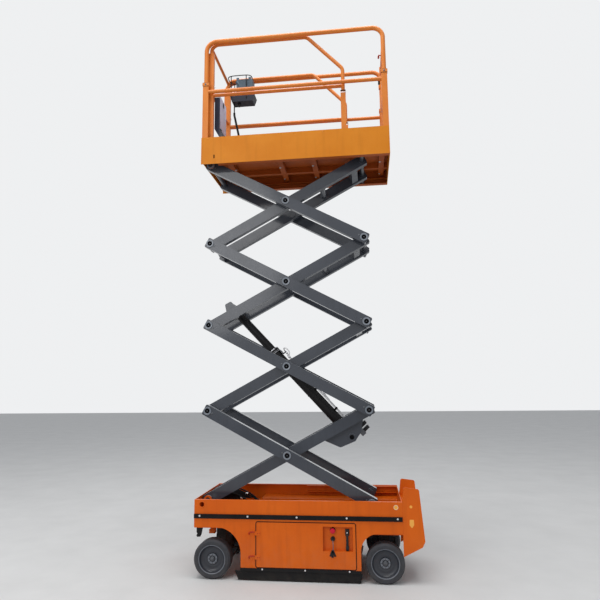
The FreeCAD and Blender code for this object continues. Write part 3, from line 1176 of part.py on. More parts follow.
def controls():
    """Control box hung inside the right extension rail, manual box on the front rail, and the held cable."""
    tray = plate("box_tray", "XZ_Plane",
                 (("box_rear_x", "tray_top"), ("box_rear_x + tray_slope", "box_low"),
                  ("box_front_x - tray_slope", "box_low"), ("box_front_x", "tray_top")), "box_width")
    place(tray, "0", "-(box_back - box_width)", "0")
    head = block("box_head", ("box_rear_x + head_set", "box_rear_x + head_set + head_length"),
                 ("-(box_back - head_inset)", "-(box_back - box_width + head_inset)"),
                 ("tray_top - head_inset", "box_low + box_height"))
    middle_y = "-(box_back - box_width / 2)"
    stick = bent_tube("joystick", (("stick_x", middle_y, "stick_low"),
                                   ("stick_x + stick_lean", middle_y, "stick_low + stick_height")),
                      "stick_radius", "stick_radius")
    hooks = []
    hook_top = "nest_top + nest_radius"
    for index, share in enumerate(("0.25", "0.75")):
        x = ("box_rear_x + box_length * %s" % share, "box_rear_x + box_length * %s + hook_width" % share)
        hooks.append(block("box_strap_%d" % index, x, ("-(box_back)", "-(box_back - slide_wall)"),
                           ("tray_top - tray_slope", hook_top)))
        hooks.append(block("box_hook_%d" % index, x, ("-(nest_y + nest_radius)", "-(box_back - slide_wall)"),
                           (hook_top, hook_top + " + slide_wall")))
    node(fuse("control_box", tray, head, stick, *hooks), "control_box")
    book_back = "book_front - book_depth"
    book_top = "book_low + book_height"
    case = plate("manual_case", "XZ_Plane",
                 ((book_back, "book_low"), (book_back + " + book_wall", "book_low"),
                  ("book_front", "book_low + book_slope"), ("book_front", book_top), (book_back, book_top)),
                  "book_width")
    place(case, "0", "book_width", "0")
    pocket = block("manual_pocket", (book_back + " + book_wall", "book_front - book_wall"),
                   ("book_wall", "book_width - book_wall"),
                   ("book_low + book_slope + book_wall", book_top + " + book_wall"))
    pieces = [cut("manual_open", case, pocket)]
    for index, share in enumerate(("0.2", "0.7")):
        y = ("book_width * %s" % share, "book_width * %s + book_hook" % share)
        pieces.append(block("book_strap_%d" % index, ("book_front - book_wall", "book_front"), y,
                            (book_top + " - book_hook", "book_hang + slide_wall")))
        pieces.append(block("book_hook_%d" % index,
                            ("book_front - book_wall", "nest_front_x + front_rail_radius"), y,
                            ("book_hang", "book_hang + slide_wall")))
    node(fuse("manual_box", *pieces), "manual_box")
    foot_x = "cable_x - cable_run"
    thick_top = "deck_low + cable_high + 2 * cable_radius"
    cable = bent_tube("cable_sleeve",
                      (("cable_x", middle_y, thick_top), ("cable_x", middle_y, "deck_low + cable_high"),
                       (foot_x, middle_y, "deck_low + cable_low"), (foot_x, middle_y, "slide_top")),
                      "cable_radius", "cable_bend")
    thin = bar("cable_end", "Z", "cable_thin", "cable_x", middle_y,
               (thick_top + " - cable_radius", "box_low"))
    node(fuse("control_cable", cable, thin), "control_cable")


chassis()
skirts()
trim()
doors()
guards()
blocks()
axles()
knuckles()
wheels()
ladder()
for stage in (1, 2, 3, 4):
    inner_arm(stage)
    outer_arm(stage)
cylinder()
platform()
guardrails()
gate()
extension()
controls()

doc.recompute()
for item in doc.Objects:
    if {"Invalid", "Error"} & set(item.State):
        raise RuntimeError("%s failed: %s" % (item.Label, item.State))
for item in nodes:
    shape = item.Shape
    if shape.isNull() or not shape.isValid() or not shape.Solids:
        raise RuntimeError("%s has no valid shape" % item.Label)
    shape.exportStep("parts/%s.step" % item.Label)
    print(item.Label, len(shape.Solids), round(shape.Volume / 1e6, 3), len(shape.Faces))
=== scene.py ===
# %% [markdown]
# # A slab scissor lift
# The frame comes packed from the CAD model, already in place and in metres: +X points to the steered
# end, +Y to the side with the ground controls and +Z up. This script adds what the CAD model leaves out:
# paint, rubber and steel, the small fastenings, the hoses and wires, the light, the floor and the camera.

# %% Setup and the frame
import json
import math

import bmesh
import bpy
from mathutils import Matrix, Vector


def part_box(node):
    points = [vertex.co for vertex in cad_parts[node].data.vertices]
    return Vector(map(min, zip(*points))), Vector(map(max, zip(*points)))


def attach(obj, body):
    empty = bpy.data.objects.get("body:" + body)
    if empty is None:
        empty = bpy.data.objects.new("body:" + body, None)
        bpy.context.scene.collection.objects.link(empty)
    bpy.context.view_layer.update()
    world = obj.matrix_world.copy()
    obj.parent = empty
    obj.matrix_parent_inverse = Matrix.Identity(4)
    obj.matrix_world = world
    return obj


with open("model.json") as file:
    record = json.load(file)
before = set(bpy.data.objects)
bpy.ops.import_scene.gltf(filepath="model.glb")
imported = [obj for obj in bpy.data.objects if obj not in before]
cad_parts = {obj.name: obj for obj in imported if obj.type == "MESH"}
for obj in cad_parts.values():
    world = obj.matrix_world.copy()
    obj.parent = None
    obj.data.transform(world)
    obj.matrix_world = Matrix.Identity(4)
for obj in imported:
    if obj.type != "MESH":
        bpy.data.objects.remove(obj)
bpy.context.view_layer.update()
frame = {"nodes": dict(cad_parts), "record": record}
SCENE = bpy.context.scene
print("CAD nodes:", len(frame["nodes"]))

# %% [markdown]
# ## Camera
# The camera stands about five metres off the machine's left side, a little behind its middle and at eye
# height, and tips up so that the raised platform is in view. The direction comes from a heading and a
# pitch, which are easier to match to a photograph than three Euler angles.

# %% Camera
CAMERA_PLACE = (-0.528, 5.011, 1.532)
CAMERA_HEADING = math.radians(6.93)
CAMERA_PITCH = math.radians(9.05)
CAMERA_ROLL = math.radians(-0.63)
CAMERA_LENS = 32.88


def make_camera():
    """Looks across the machine from its left side, tipped up by the pitch and turned by the roll."""
    ahead = Vector((math.sin(CAMERA_HEADING) * math.cos(CAMERA_PITCH),
                    -math.cos(CAMERA_HEADING) * math.cos(CAMERA_PITCH), math.sin(CAMERA_PITCH)))
    turn = ahead.to_track_quat("-Z", "Y").to_matrix() @ Matrix.Rotation(CAMERA_ROLL, 3, "Z")
    data = bpy.data.cameras.new("camera")
    data.lens = CAMERA_LENS
    data.sensor_width = 36.0
    camera = bpy.data.objects.new("camera", data)
    camera.matrix_world = Matrix.Translation(CAMERA_PLACE) @ turn.to_4x4()
    SCENE.collection.objects.link(camera)
    SCENE.camera = camera


make_camera()
print("camera at", CAMERA_PLACE, "with a lens of", CAMERA_LENS, "mm")

# %% [markdown]
# ## Material helpers
# Every material is procedural and reads object coordinates. A picture could be wrapped round each piece
# instead, but all pieces have their origin at the machine's origin, so one noise pattern has the same
# scale everywhere, needs no unwrapping, and can follow the height above the ground, as dust does. These
# helpers hide the node plumbing, so that a material below reads as a list of layers.


# %% A new material and its patterns
def new_material(name):
    """An empty node material with its shader and its object coordinates."""
    material = bpy.data.materials.new(name)
    material.use_nodes = True
    tree = material.node_tree
    shader = tree.nodes["Principled BSDF"]
    where = tree.nodes.new("ShaderNodeTexCoord").outputs["Object"]
    return material, tree, shader, where


def noise(tree, where, scale, detail=4.0, rough=0.6, stretch=None):
    """A noise value between 0 and 1; stretch scales the pattern along each axis."""
    if stretch:
        mapping = tree.nodes.new("ShaderNodeMapping")
        mapping.inputs["Scale"].default_value = stretch
        tree.links.new(where, mapping.inputs["Vector"])
        where = mapping.outputs["Vector"]
    node = tree.nodes.new("ShaderNodeTexNoise")
    node.inputs["Scale"].default_value = scale
    node.inputs["Detail"].default_value = detail
    node.inputs["Roughness"].default_value = rough
    tree.links.new(where, node.inputs["Vector"])
    return node.outputs["Fac"]


def height_of(tree, where):
    """The height above the ground."""
    node = tree.nodes.new("ShaderNodeSeparateXYZ")
    tree.links.new(where, node.inputs["Vector"])
    return node.outputs["Z"]


def upward_of(tree):
    """How far a face looks upward: 1 for a level top and 0 for a side."""
    turned = tree.nodes.new("ShaderNodeSeparateXYZ")
    tree.links.new(tree.nodes.new("ShaderNodeTexCoord").outputs["Normal"], turned.inputs["Vector"])
    return turned.outputs["Z"]


# %% Values and colours laid over one another
def band(tree, value, low, high, bottom=0.0, top=1.0):
    """Value stretched so that low gives bottom and high gives top, and held beyond them."""
    node = tree.nodes.new("ShaderNodeMapRange")
    node.inputs["From Min"].default_value = low
    node.inputs["From Max"].default_value = high
    node.inputs["To Min"].default_value = bottom
    node.inputs["To Max"].default_value = top
    tree.links.new(value, node.inputs["Value"])
    return node.outputs["Result"]


def product(tree, first, second):
    """Two sockets multiplied."""
    node = tree.nodes.new("ShaderNodeMath")
    node.operation = "MULTIPLY"
    for value, socket in zip((first, second), node.inputs):
        tree.links.new(value, socket)
    return node.outputs["Value"]


def blend_colour(tree, amount, under, over):
    """Over laid on under by amount; either is a colour or a socket."""
    node = tree.nodes.new("ShaderNodeMix")
    node.data_type = "RGBA"
    tree.links.new(amount, node.inputs["Factor"])
    for value, socket in zip((under, over), (node.inputs["A"], node.inputs["B"])):
        if isinstance(value, tuple):
            socket.default_value = (*value, 1.0)
        else:
            tree.links.new(value, socket)
    return node.outputs["Result"]


def add_bump(tree, shader, height, strength, distance):
    """Lets a pattern tilt the light on the surface."""
    node = tree.nodes.new("ShaderNodeBump")
    node.inputs["Strength"].default_value = strength
    node.inputs["Distance"].default_value = distance
    tree.links.new(height, node.inputs["Height"])
    tree.links.new(node.outputs["Normal"], shader.inputs["Normal"])


def srgb(red, green, blue):
    """A colour as it shows in a picture, turned into light."""
    return tuple((value / 255 / 12.92) if value <= 10 else ((value / 255 + 0.055) / 1.055) ** 2.4
                 for value in (red, green, blue))


def scaled(colour, share):
    """A darker or lighter tone of a colour."""
    return tuple(value * share for value in colour)


print("mid grey as light:", round(srgb(128, 128, 128)[0], 3))

# %% [markdown]
# ## Paint
# Most of the machine is sprayed steel. A single flat colour would look like plastic, so the paint is built
# in layers, as it ages: cloudy fading, faint upright runs, small chips and road dust that thins out with the
# height. Faces that look up turn pale grey: settled dust, and also a painted highlight of the sky on the
# tops. Each layer is a noise squeezed by `band` and blended in.

# %% Paint
ROAD_DUST = srgb(150, 138, 122)
TOP_DUST_AND_HIGHLIGHT = srgb(186, 188, 190)
COAT_ROUGHNESS = 0.12


def paint(name, colour, faded, roughness=0.42, dust=0.15, dust_top=0.4, speck=0.35, mirror=0.22, gloss=0.0,
          tops_dust_and_highlight=0.0):
    """Sprayed steel: cloudy fading, faint runs, small chips, and road dust low down."""
    material, tree, shader, where = new_material(name)
    clouds = band(tree, noise(tree, where, 3.0), 0.35, 0.7)
    runs = band(tree, noise(tree, where, 9.0, 3.0, 0.5, (3.0, 3.0, 0.25)), 0.5, 0.75, 0.0, 0.4)
    tint = blend_colour(tree, clouds, colour, faded)
    tint = blend_colour(tree, runs, tint, scaled(colour, 0.8))
    chips = band(tree, noise(tree, where, 160.0, 2.0, 0.5), 0.735, 0.75, 0.0, speck)
    tint = blend_colour(tree, chips, tint, scaled(colour, 0.35))
    low = band(tree, height_of(tree, where), dust_top, 0.02)
    dusty = product(tree, low, band(tree, noise(tree, where, 14.0, 6.0, 0.7), 0.35, 0.7, 0.0, dust))
    tint = blend_colour(tree, dusty, tint, ROAD_DUST)
    # Faces that look up are blended towards a pale grey: settled dust, and a painted highlight on the tops.
    if tops_dust_and_highlight:
        upward = band(tree, upward_of(tree), 0.45, 0.75, 0.0, tops_dust_and_highlight)
        patchy = band(tree, noise(tree, where, 11.0, 5.0, 0.65), 0.25, 0.6, 0.55, 1.0)
        tint = blend_colour(tree, product(tree, upward, patchy), tint, TOP_DUST_AND_HIGHLIGHT)
    tree.links.new(tint, shader.inputs["Base Color"])
    shine = band(tree, noise(tree, where, 22.0, 5.0, 0.65), 0.3, 0.75, roughness - 0.07, roughness + 0.14)
    tree.links.new(shine, shader.inputs["Roughness"])
    shader.inputs["Specular IOR Level"].default_value = mirror
    shader.inputs["Coat Weight"].default_value = gloss
    shader.inputs["Coat Roughness"].default_value = COAT_ROUGHNESS
    add_bump(tree, shader, noise(tree, where, 420.0, 2.0, 0.5), 0.06, 0.0006)
    return material


FRAME_ORANGE = paint("frame_orange", srgb(212, 92, 6), srgb(222, 102, 12))
# The platform panels and rivets are a lighter, yellower copy of the frame orange: painted haze light high up.
PLATFORM_ORANGE_HAZE_LIT = paint("platform_orange_painted_light", srgb(208, 122, 16), srgb(216, 132, 28), dust=0.0)
# The platform frame's paint is a darker, browner copy of the platform orange: painted shade under the
# platform.
DECK_UNDERSIDE_SHADE = paint("deck_underside_painted_shade", srgb(172, 82, 26), srgb(160, 76, 26), 0.5, dust=0.0)
RAIL_ORANGE = paint("rail_orange", srgb(212, 118, 36), srgb(220, 130, 48), 0.36, dust=0.0, mirror=0.4)
# The arms' top faces turn pale grey: settled dust and a painted highlight.
ARM_GREY = paint("arm_grey", srgb(54, 58, 66), srgb(62, 66, 74), 0.4, dust=0.0, gloss=0.7, tops_dust_and_highlight=0.75)
BLACK_PAINT = paint("black_paint", srgb(13, 12, 14), srgb(20, 20, 22), 0.5, dust=0.06, dust_top=0.1)
AXLE_PAINT = paint("axle_paint", srgb(24, 24, 26), srgb(36, 34, 33), 0.6, dust=0.5)
RIM_GREY = paint("rim_grey", srgb(46, 49, 57), srgb(56, 59, 66), 0.36, dust=0.08, dust_top=0.2, gloss=0.4)
RING_GREY = paint("ring_grey", srgb(112, 118, 126), srgb(134, 140, 148), 0.36, dust=0.0, gloss=0.5)
# The rim's lip and hub ring are a paler copy of the rim grey: a painted highlight.
LIP_HIGHLIGHT_GREY = paint("lip_painted_highlight", srgb(104, 108, 116), srgb(122, 126, 134), 0.3, dust_top=0.1, mirror=0.6)
RED_ORANGE = paint("red_orange", srgb(176, 48, 16), srgb(190, 60, 24), 0.4, dust=0.1)
TAG_ORANGE = paint("tag_orange", srgb(244, 168, 66), srgb(248, 178, 84), dust=0.0, speck=0.1)
print("paints mixed:", len(bpy.data.materials))

# %% [markdown]
# ## Rubber and plastic
# Tyres, seals, cable and switches are moulded, so they are matt with a fine grain and no chips. The grain is
# only a bump: real geometry at that size would cost millions of faces and never show. The control box has a
# dark tray under a paler head in one CAD node, and `two_tone` changes the colour at that height.

# %% Rubber and plastic
TYRE_DUST = srgb(140, 130, 118)
TRAY_TOP = 4.5436


def moulded(name, colour, roughness=0.6, grain=500.0, depth=0.12, dust=0.3, mirror=0.3):
    """Rubber or plastic with a fine grain and dust in its lower part."""
    material, tree, shader, where = new_material(name)
    clouds = band(tree, noise(tree, where, 7.0), 0.3, 0.75)
    tint = blend_colour(tree, clouds, colour, tuple(min(1.0, value * 1.5 + 0.004) for value in colour))
    low = band(tree, height_of(tree, where), 0.5, 0.0)
    dusty = product(tree, low, band(tree, noise(tree, where, 20.0, 6.0, 0.7), 0.4, 0.75, 0.0, dust))
    tint = blend_colour(tree, dusty, tint, TYRE_DUST)
    tree.links.new(tint, shader.inputs["Base Color"])
    shine = band(tree, noise(tree, where, 30.0), 0.3, 0.7, roughness - 0.08, roughness + 0.12)
    tree.links.new(shine, shader.inputs["Roughness"])
    shader.inputs["Specular IOR Level"].default_value = mirror
    add_bump(tree, shader, noise(tree, where, grain, 2.0, 0.5), depth, 0.0008)
    return material


def two_tone(name, under, over, level):
    """Grained plastic that changes its colour at a height, as a tray and the head on it."""
    material, tree, shader, where = new_material(name)
    split = band(tree, height_of(tree, where), level - 0.0003, level + 0.0003)
    tree.links.new(blend_colour(tree, split, under, over), shader.inputs["Base Color"])
    tree.links.new(band(tree, noise(tree, where, 30.0), 0.3, 0.7, 0.42, 0.6), shader.inputs["Roughness"])
    shader.inputs["Specular IOR Level"].default_value = 0.3
    add_bump(tree, shader, noise(tree, where, 500.0, 2.0, 0.5), 0.1, 0.0008)
    return material


TYRE_RUBBER = moulded("tyre_rubber", srgb(52, 53, 57), 0.7, 300.0, 0.25, 0.14)
BLACK_RUBBER = moulded("black_rubber", srgb(12, 11, 12), 0.6, dust=0.03, mirror=0.15)
CASE_PLASTIC = moulded("case_plastic", srgb(36, 37, 40), 0.6)
BOX_GREY = two_tone("box_grey", srgb(26, 30, 46), srgb(76, 92, 104), TRAY_TOP)
BOX_DARK = moulded("box_dark", srgb(38, 46, 64), 0.45)
SWITCH_RED = moulded("switch_red", srgb(196, 14, 48), 0.3, 700.0, 0.04, 0.0)
SWITCH_BLACK = moulded("switch_black", srgb(20, 20, 22), 0.35, 700.0, 0.04, 0.0)
# Near black and with almost no reflection: painted shade in the pin bores and the panel slots.
PIN_BORE_SHADE = moulded("pin_bore_painted_shade", srgb(8, 8, 10), 0.8, dust=0.0, mirror=0.05)
PALE_TAG = moulded("pale_tag", srgb(214, 206, 176), 0.45, 700.0, 0.03, 0.0)
LID_GREY = moulded("lid_grey", srgb(176, 178, 198), 0.5, 700.0, 0.04, 0.0)
STRAP_GREY = moulded("strap_grey", srgb(90, 92, 98), 0.5, 700.0, 0.08, 0.0)
print("materials so far:", len(bpy.data.materials))

# %% [markdown]
# ## Steel and tread plate
# Bolts and glands are plated steel: fully metallic, with a fine grain in the roughness and a patchy
# tarnish. The deck is tread plate. Its small raised bars could be modelled one by one, but they are a few
# millimetres high on a deck seen from far off, so a diagonal wave gives them as a bump with worn tops.


# %% Steel and tread plate
def metal(name, colour, roughness=0.35, tarnish=0.35):
    """Bare or plated steel with a fine grain and a patchy tarnish."""
    material, tree, shader, where = new_material(name)
    patches = band(tree, noise(tree, where, 35.0, 5.0, 0.65), 0.45, 0.75, 0.0, tarnish)
    tree.links.new(blend_colour(tree, patches, colour, scaled(colour, 0.45)), shader.inputs["Base Color"])
    shader.inputs["Metallic"].default_value = 1.0
    grain = noise(tree, where, 120.0, 3.0)
    shine = band(tree, grain, 0.3, 0.7, roughness - 0.1, roughness + 0.15)
    tree.links.new(shine, shader.inputs["Roughness"])
    add_bump(tree, shader, grain, 0.05, 0.0005)
    return material


def tread_plate(name, colour):
    """Painted deck steel with a raised grid of small bars and wear on top of them."""
    material, tree, shader, where = new_material(name)
    wave = tree.nodes.new("ShaderNodeTexWave")
    wave.bands_direction = "DIAGONAL"
    wave.inputs["Scale"].default_value = 22.0
    wave.inputs["Distortion"].default_value = 0.0
    tree.links.new(where, wave.inputs["Vector"])
    ribs = band(tree, wave.outputs["Fac"], 0.6, 0.85)
    worn = product(tree, ribs, band(tree, noise(tree, where, 9.0), 0.4, 0.7, 0.0, 0.6))
    tint = blend_colour(tree, band(tree, noise(tree, where, 5.0), 0.3, 0.75), colour, scaled(colour, 0.7))
    tint = blend_colour(tree, worn, tint, srgb(150, 140, 128))
    tree.links.new(tint, shader.inputs["Base Color"])
    tree.links.new(band(tree, noise(tree, where, 25.0), 0.3, 0.7, 0.4, 0.65), shader.inputs["Roughness"])
    add_bump(tree, shader, ribs, 0.4, 0.002)
    return material


BRIGHT_STEEL = metal("bright_steel", srgb(190, 190, 194), 0.3)
DARK_STEEL = metal("dark_steel", srgb(96, 98, 102), 0.42)
PALE_STEEL = metal("pale_steel", srgb(214, 214, 216), 0.45, tarnish=0.15)
DECK_ORANGE = tread_plate("deck_orange", srgb(196, 108, 40))
print("materials in all:", len(bpy.data.materials))

# %% [markdown]
# ## Dressing the CAD nodes
# The big shapes come from the CAD model and keep their meshes. Each one gets a single material, listed here
# by finish, because the real machine is sprayed the same way: all parts of one colour together.

# %% Dressing the CAD nodes
SIDES = (("left", 1.0), ("right", -1.0))
WHEEL_PLACES = [(end, side, out) for end in ("front", "rear") for side, out in SIDES]
STAGES = (1, 2, 3, 4)

NODE_LOOKS = {
    FRAME_ORANGE: ("base_frame", "side_skirt_left", "side_skirt_right", "rear_ladder", "door_left",
                   "door_right"),
    PLATFORM_ORANGE_HAZE_LIT: ("platform_panels",),
    DECK_UNDERSIDE_SHADE: ("platform_frame",),
    RAIL_ORANGE: ("guardrails", "entry_gate", "extension_rails"),
    DECK_ORANGE: ("extension_deck",),
    ARM_GREY: ["%s_arm_%d" % (kind, stage) for kind in ("inner", "outer") for stage in STAGES],
    BLACK_PAINT: ("guard_sills", "pothole_guard_left", "pothole_guard_right", "lift_barrel", "lift_ram"),
    AXLE_PAINT: ("front_axle", "rear_axle", "knuckle_left", "knuckle_right", "tie_rod"),
    RIM_GREY: ["rim_%s_%s" % (end, side) for end, side, out in WHEEL_PLACES],
    TYRE_RUBBER: ["tyre_%s_%s" % (end, side) for end, side, out in WHEEL_PLACES],
    BLACK_RUBBER: ("rub_strips", "control_cable"),
    CASE_PLASTIC: ("battery_pack", "power_unit"),
    BOX_GREY: ("control_box",),
    BOX_DARK: ("manual_box",),
    SWITCH_BLACK: ("ground_controls",),
}


def dress_nodes():
    """Gives each CAD node its material in every slot."""
    for material, names in NODE_LOOKS.items():
        for name in names:
            mesh = frame["nodes"][name].data
            mesh.materials.clear()
            mesh.materials.append(material)


dress_nodes()
print("nodes dressed:", sum(len(names) for names in NODE_LOOKS.values()))

# %% [markdown]
# ## Tools for new pieces
# The CAD model carries the big shapes. What makes a machine look real is the small hardware on them, and
# each of those pieces is made the same way: a bmesh gets a few of Blender's own shapes, their edges are
# softened with a bevel, and the result becomes one object at the machine's origin. Modifiers would do too,
# but a bevel in the mesh needs no settings later and keeps every screw head's edge bright.

# %% Places and directions
JOINT_AT = {joint["name"]: Vector(joint["pos_m"]) for joint in frame["record"]["behaviour"]["joints"]
            if "pos_m" in joint}


def corners(node):
    """A CAD node's lowest and highest corners as vectors."""
    low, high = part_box(node)
    return Vector(low), Vector(high)


def turn_to(direction):
    """A matrix that turns +Z to a direction."""
    return Vector(direction).to_track_quat("Z", "Y").to_matrix().to_4x4()


def upright(points, y):
    """An outline of (x, z) points, stood up at a distance across the machine."""
    return [(x, y, z) for x, z in points]


def bolt_circle(centre, radius, count, start=0.0):
    """Places at even angles round a centre, in the plane that faces the side."""
    for index in range(count):
        angle = math.tau * (index + start) / count
        yield centre + Vector((math.cos(angle), 0.0, math.sin(angle))) * radius


print("joints with a place:", len(JOINT_AT))


# %% Bars and blocks
def soften(mesh, verts, offset, least_angle=0.7):
    """Bevels the sharp edges between some vertices."""
    edges = {edge for vert in verts for edge in vert.link_edges}
    sharp = [edge for edge in edges if len(edge.link_faces) == 2 and edge.calc_face_angle() > least_angle]
    bmesh.ops.bevel(mesh, geom=sharp, offset=offset, segments=2, profile=0.5, affect="EDGES", material=-1)


def add_rod(mesh, start, end, radius, sides=24, soft=0.0):
    """A round or many-sided bar between two points."""
    start, end = Vector(start), Vector(end)
    place = Matrix.Translation((start + end) / 2) @ turn_to(end - start)
    made = bmesh.ops.create_cone(mesh, cap_ends=True, segments=sides, radius1=radius, radius2=radius,
                                 depth=(end - start).length, matrix=place)
    if soft:
        soften(mesh, made["verts"], soft)


def add_block(mesh, low, high, soft=0.001, turn=None):
    """A block between two corners, turned about its middle."""
    low, high = Vector(low), Vector(high)
    place = Matrix.Translation((low + high) / 2) @ (turn or Matrix()) @ Matrix.Diagonal((*(high - low), 1.0))
    made = bmesh.ops.create_cube(mesh, size=1.0, matrix=place)
    soften(mesh, made["verts"], soft, 0.2)


def add_side_block(mesh, out, low, high, soft):
    """A block whose corners are given for the left side, put on the side that out names."""
    near, far = sorted((low[1] * out, high[1] * out))
    add_block(mesh, (low[0], near, low[2]), (high[0], far, high[2]), soft)


def add_plate(mesh, points, wall, direction):
    """A flat plate: an outline of points, extruded along a direction by its wall."""
    face = mesh.faces.new([mesh.verts.new(point) for point in points])
    made = bmesh.ops.extrude_face_region(mesh, geom=[face])
    verts = [item for item in made["geom"] if isinstance(item, bmesh.types.BMVert)]
    bmesh.ops.translate(mesh, vec=Vector(direction).normalized() * wall, verts=verts)


# %% [markdown]
# Rings, caps, nozzles and knobs are bodies of revolution. A lathe profile of (along, radius) points, spun a
# full turn about the axis, gives any of them, so one function serves for a wheel dish and for a rivet.

# %% Turned shapes and bolts
BOLT_SINK = 0.0005


def add_turned(mesh, profile, place, axis, sides=40):
    """A turned shape from (along, radius) points: a ring, or a solid if the ends lie on the axis."""
    before = set(mesh.verts)
    section = [mesh.verts.new((radius, 0.0, along)) for along, radius in profile]
    pairs = list(zip(section, section[1:]))
    if min(radius for along, radius in profile) > 0.0:
        pairs.append((section[-1], section[0]))
    lines = [mesh.edges.new(pair) for pair in pairs]
    bmesh.ops.spin(mesh, geom=section + lines, cent=(0, 0, 0), axis=(0, 0, 1), angle=math.tau, steps=sides,
                   use_merge=True)
    made = [vert for vert in mesh.verts if vert not in before]
    bmesh.ops.transform(mesh, matrix=Matrix.Translation(place) @ turn_to(axis), verts=made)


def add_bolt(mesh, place, out, radius, height=None):
    """A hexagon head on its washer, standing on a surface and pointing out of it."""
    place, out = Vector(place), Vector(out).normalized()
    add_rod(mesh, place - out * BOLT_SINK, place + out * radius * 0.25, radius * 1.5, 28, radius * 0.08)
    add_rod(mesh, place, place + out * (height or radius * 0.9), radius, 6, radius * 0.12)


def add_button_head(mesh, place, out, radius, height):
    """A low round head, such as a rivet or a carriage bolt."""
    profile = ((-BOLT_SINK, 0.0), (-BOLT_SINK, radius), (height * 0.35, radius),
               (height * 0.8, radius * 0.72), (height, radius * 0.3), (height, 0.0))
    add_turned(mesh, profile, place, out, 24)


# %% [markdown]
# Hoses, pipes and wires follow a line. A curve with a round bevel is the quickest way to sweep one, and a
# NURBS line bends smoothly between a few points. It becomes a mesh at once, so that it rides like the rest.

# %% Tubes, and finishing a piece
SHARP_ANGLE = math.radians(32)


def add_tube(mesh, points, radius, closed=False):
    """A wire or pipe whose smooth line has the points as its corners."""
    curve = bpy.data.curves.new("route", "CURVE")
    curve.dimensions = "3D"
    curve.bevel_depth = radius
    curve.bevel_resolution = 3
    curve.use_fill_caps = not closed
    spline = curve.splines.new("NURBS")
    spline.points.add(len(points) - 1)
    for point, place in zip(spline.points, points):
        point.co = (*place, 1.0)
    spline.use_cyclic_u = closed
    spline.order_u = 3
    spline.use_endpoint_u = not closed
    spline.resolution_u = 6
    route = bpy.data.objects.new("route", curve)
    made = bpy.data.meshes.new_from_object(route)
    mesh.from_mesh(made)
    bpy.data.objects.remove(route)
    bpy.data.curves.remove(curve)
    bpy.data.meshes.remove(made)


def finish_piece(name, mesh, material, body):
    """Makes the bmesh an object at the origin, shades it and lets it ride on a body."""
    bmesh.ops.remove_doubles(mesh, verts=mesh.verts, dist=1e-6)
    bmesh.ops.recalc_face_normals(mesh, faces=mesh.faces)
    data = bpy.data.meshes.new(name)
    mesh.to_mesh(data)
    mesh.free()
    data.polygons.foreach_set("use_smooth", [True] * len(data.polygons))
    data.set_sharp_from_angle(angle=SHARP_ANGLE)
    data.materials.append(material)
    piece = bpy.data.objects.new(name, data)
    SCENE.collection.objects.link(piece)
    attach(piece, body)


# %% [markdown]
# ## Wheels
# Each wheel is a solid tyre on a pressed steel disc. The CAD model holds its outline, so here come the
# curved dish, the thin lip, the hub with its ring of bolts, the nut on the spindle and the moulded ribs on
# the sidewall. The lip and a ring on the hub are a paler grey than the dish: a painted highlight where the
# lip catches the light. All are bodies of revolution, so they are spun from a section.

# %% Wheels
DISH = ((0.0495, 0.1060), (0.040, 0.1035), (0.028, 0.097), (0.0215, 0.087), (0.019, 0.074), (0.021, 0.066),
        (0.021, 0.060), (0.019, 0.054), (0.019, 0.0445), (0.0155, 0.0445), (0.0155, 0.074), (0.018, 0.089),
        (0.025, 0.1002), (0.037, 0.1055), (0.0465, 0.1075))
LIP = ((0.049, 0.1128), (0.0528, 0.1138), (0.0542, 0.1118), (0.0542, 0.1092), (0.0528, 0.1068),
       (0.049, 0.1062))
HUB_RING = ((0.0275, 0.0405), (0.0300, 0.0400), (0.0315, 0.0385), (0.0315, 0.0270), (0.0300, 0.0255),
            (0.0275, 0.0255))
HUB_CAP = ((0.0245, 0.0), (0.0245, 0.0205), (0.0340, 0.0205), (0.0375, 0.0175), (0.0390, 0.0100),
           (0.0395, 0.0))
SIDEWALL_RIB = ((0.0560, 0.1235), (0.0580, 0.1240), (0.0585, 0.1255), (0.0580, 0.1270), (0.0560, 0.1275))
HUB_NUT = (0.038, 0.0445, 0.0135)
HUB_BOLTS = 8
HUB_FACE = 0.0315
HUB_BOLT_CIRCLE = 0.0328


def make_wheel_trim(end, side, out):
    """The dish, lip, hub and tyre ribs of one wheel, all turning with it."""
    name = "%s_%s" % (end, side)
    body = name + "_wheel"
    low, high = corners("tyre_" + name)
    centre = (low + high) / 2
    axis = Vector((0.0, out, 0.0))
    mesh = bmesh.new()
    add_turned(mesh, DISH, centre, axis, 64)
    finish_piece("rim_dish_" + name, mesh, RIM_GREY, body)
    mesh = bmesh.new()
    # The lip and the hub ring in a paler grey: a painted highlight on the rim.
    add_turned(mesh, LIP, centre, axis, 72)
    add_turned(mesh, HUB_RING, centre, axis)
    finish_piece("rim_lip_highlight_" + name, mesh, LIP_HIGHLIGHT_GREY, body)
    mesh = bmesh.new()
    add_turned(mesh, HUB_CAP, centre, axis, 32)
    start, stop, radius = HUB_NUT
    add_rod(mesh, centre + axis * start, centre + axis * stop, radius, 6, 0.001)
    for place in bolt_circle(centre + axis * HUB_FACE, HUB_BOLT_CIRCLE, HUB_BOLTS):
        add_rod(mesh, place, place + axis * 0.0045, 0.0046, 6, 0.0006)
    finish_piece("hub_bolts_" + name, mesh, DARK_STEEL, body)
    mesh = bmesh.new()
    for way in (1.0, -1.0):
        add_turned(mesh, SIDEWALL_RIB, centre, axis * way, 80)
    finish_piece("tyre_ribs_" + name, mesh, TYRE_RUBBER, body)


for end, side, out in WHEEL_PLACES:
    make_wheel_trim(end, side, out)
print("wheels dressed:", len(WHEEL_PLACES), "each with", HUB_BOLTS, "hub bolts")

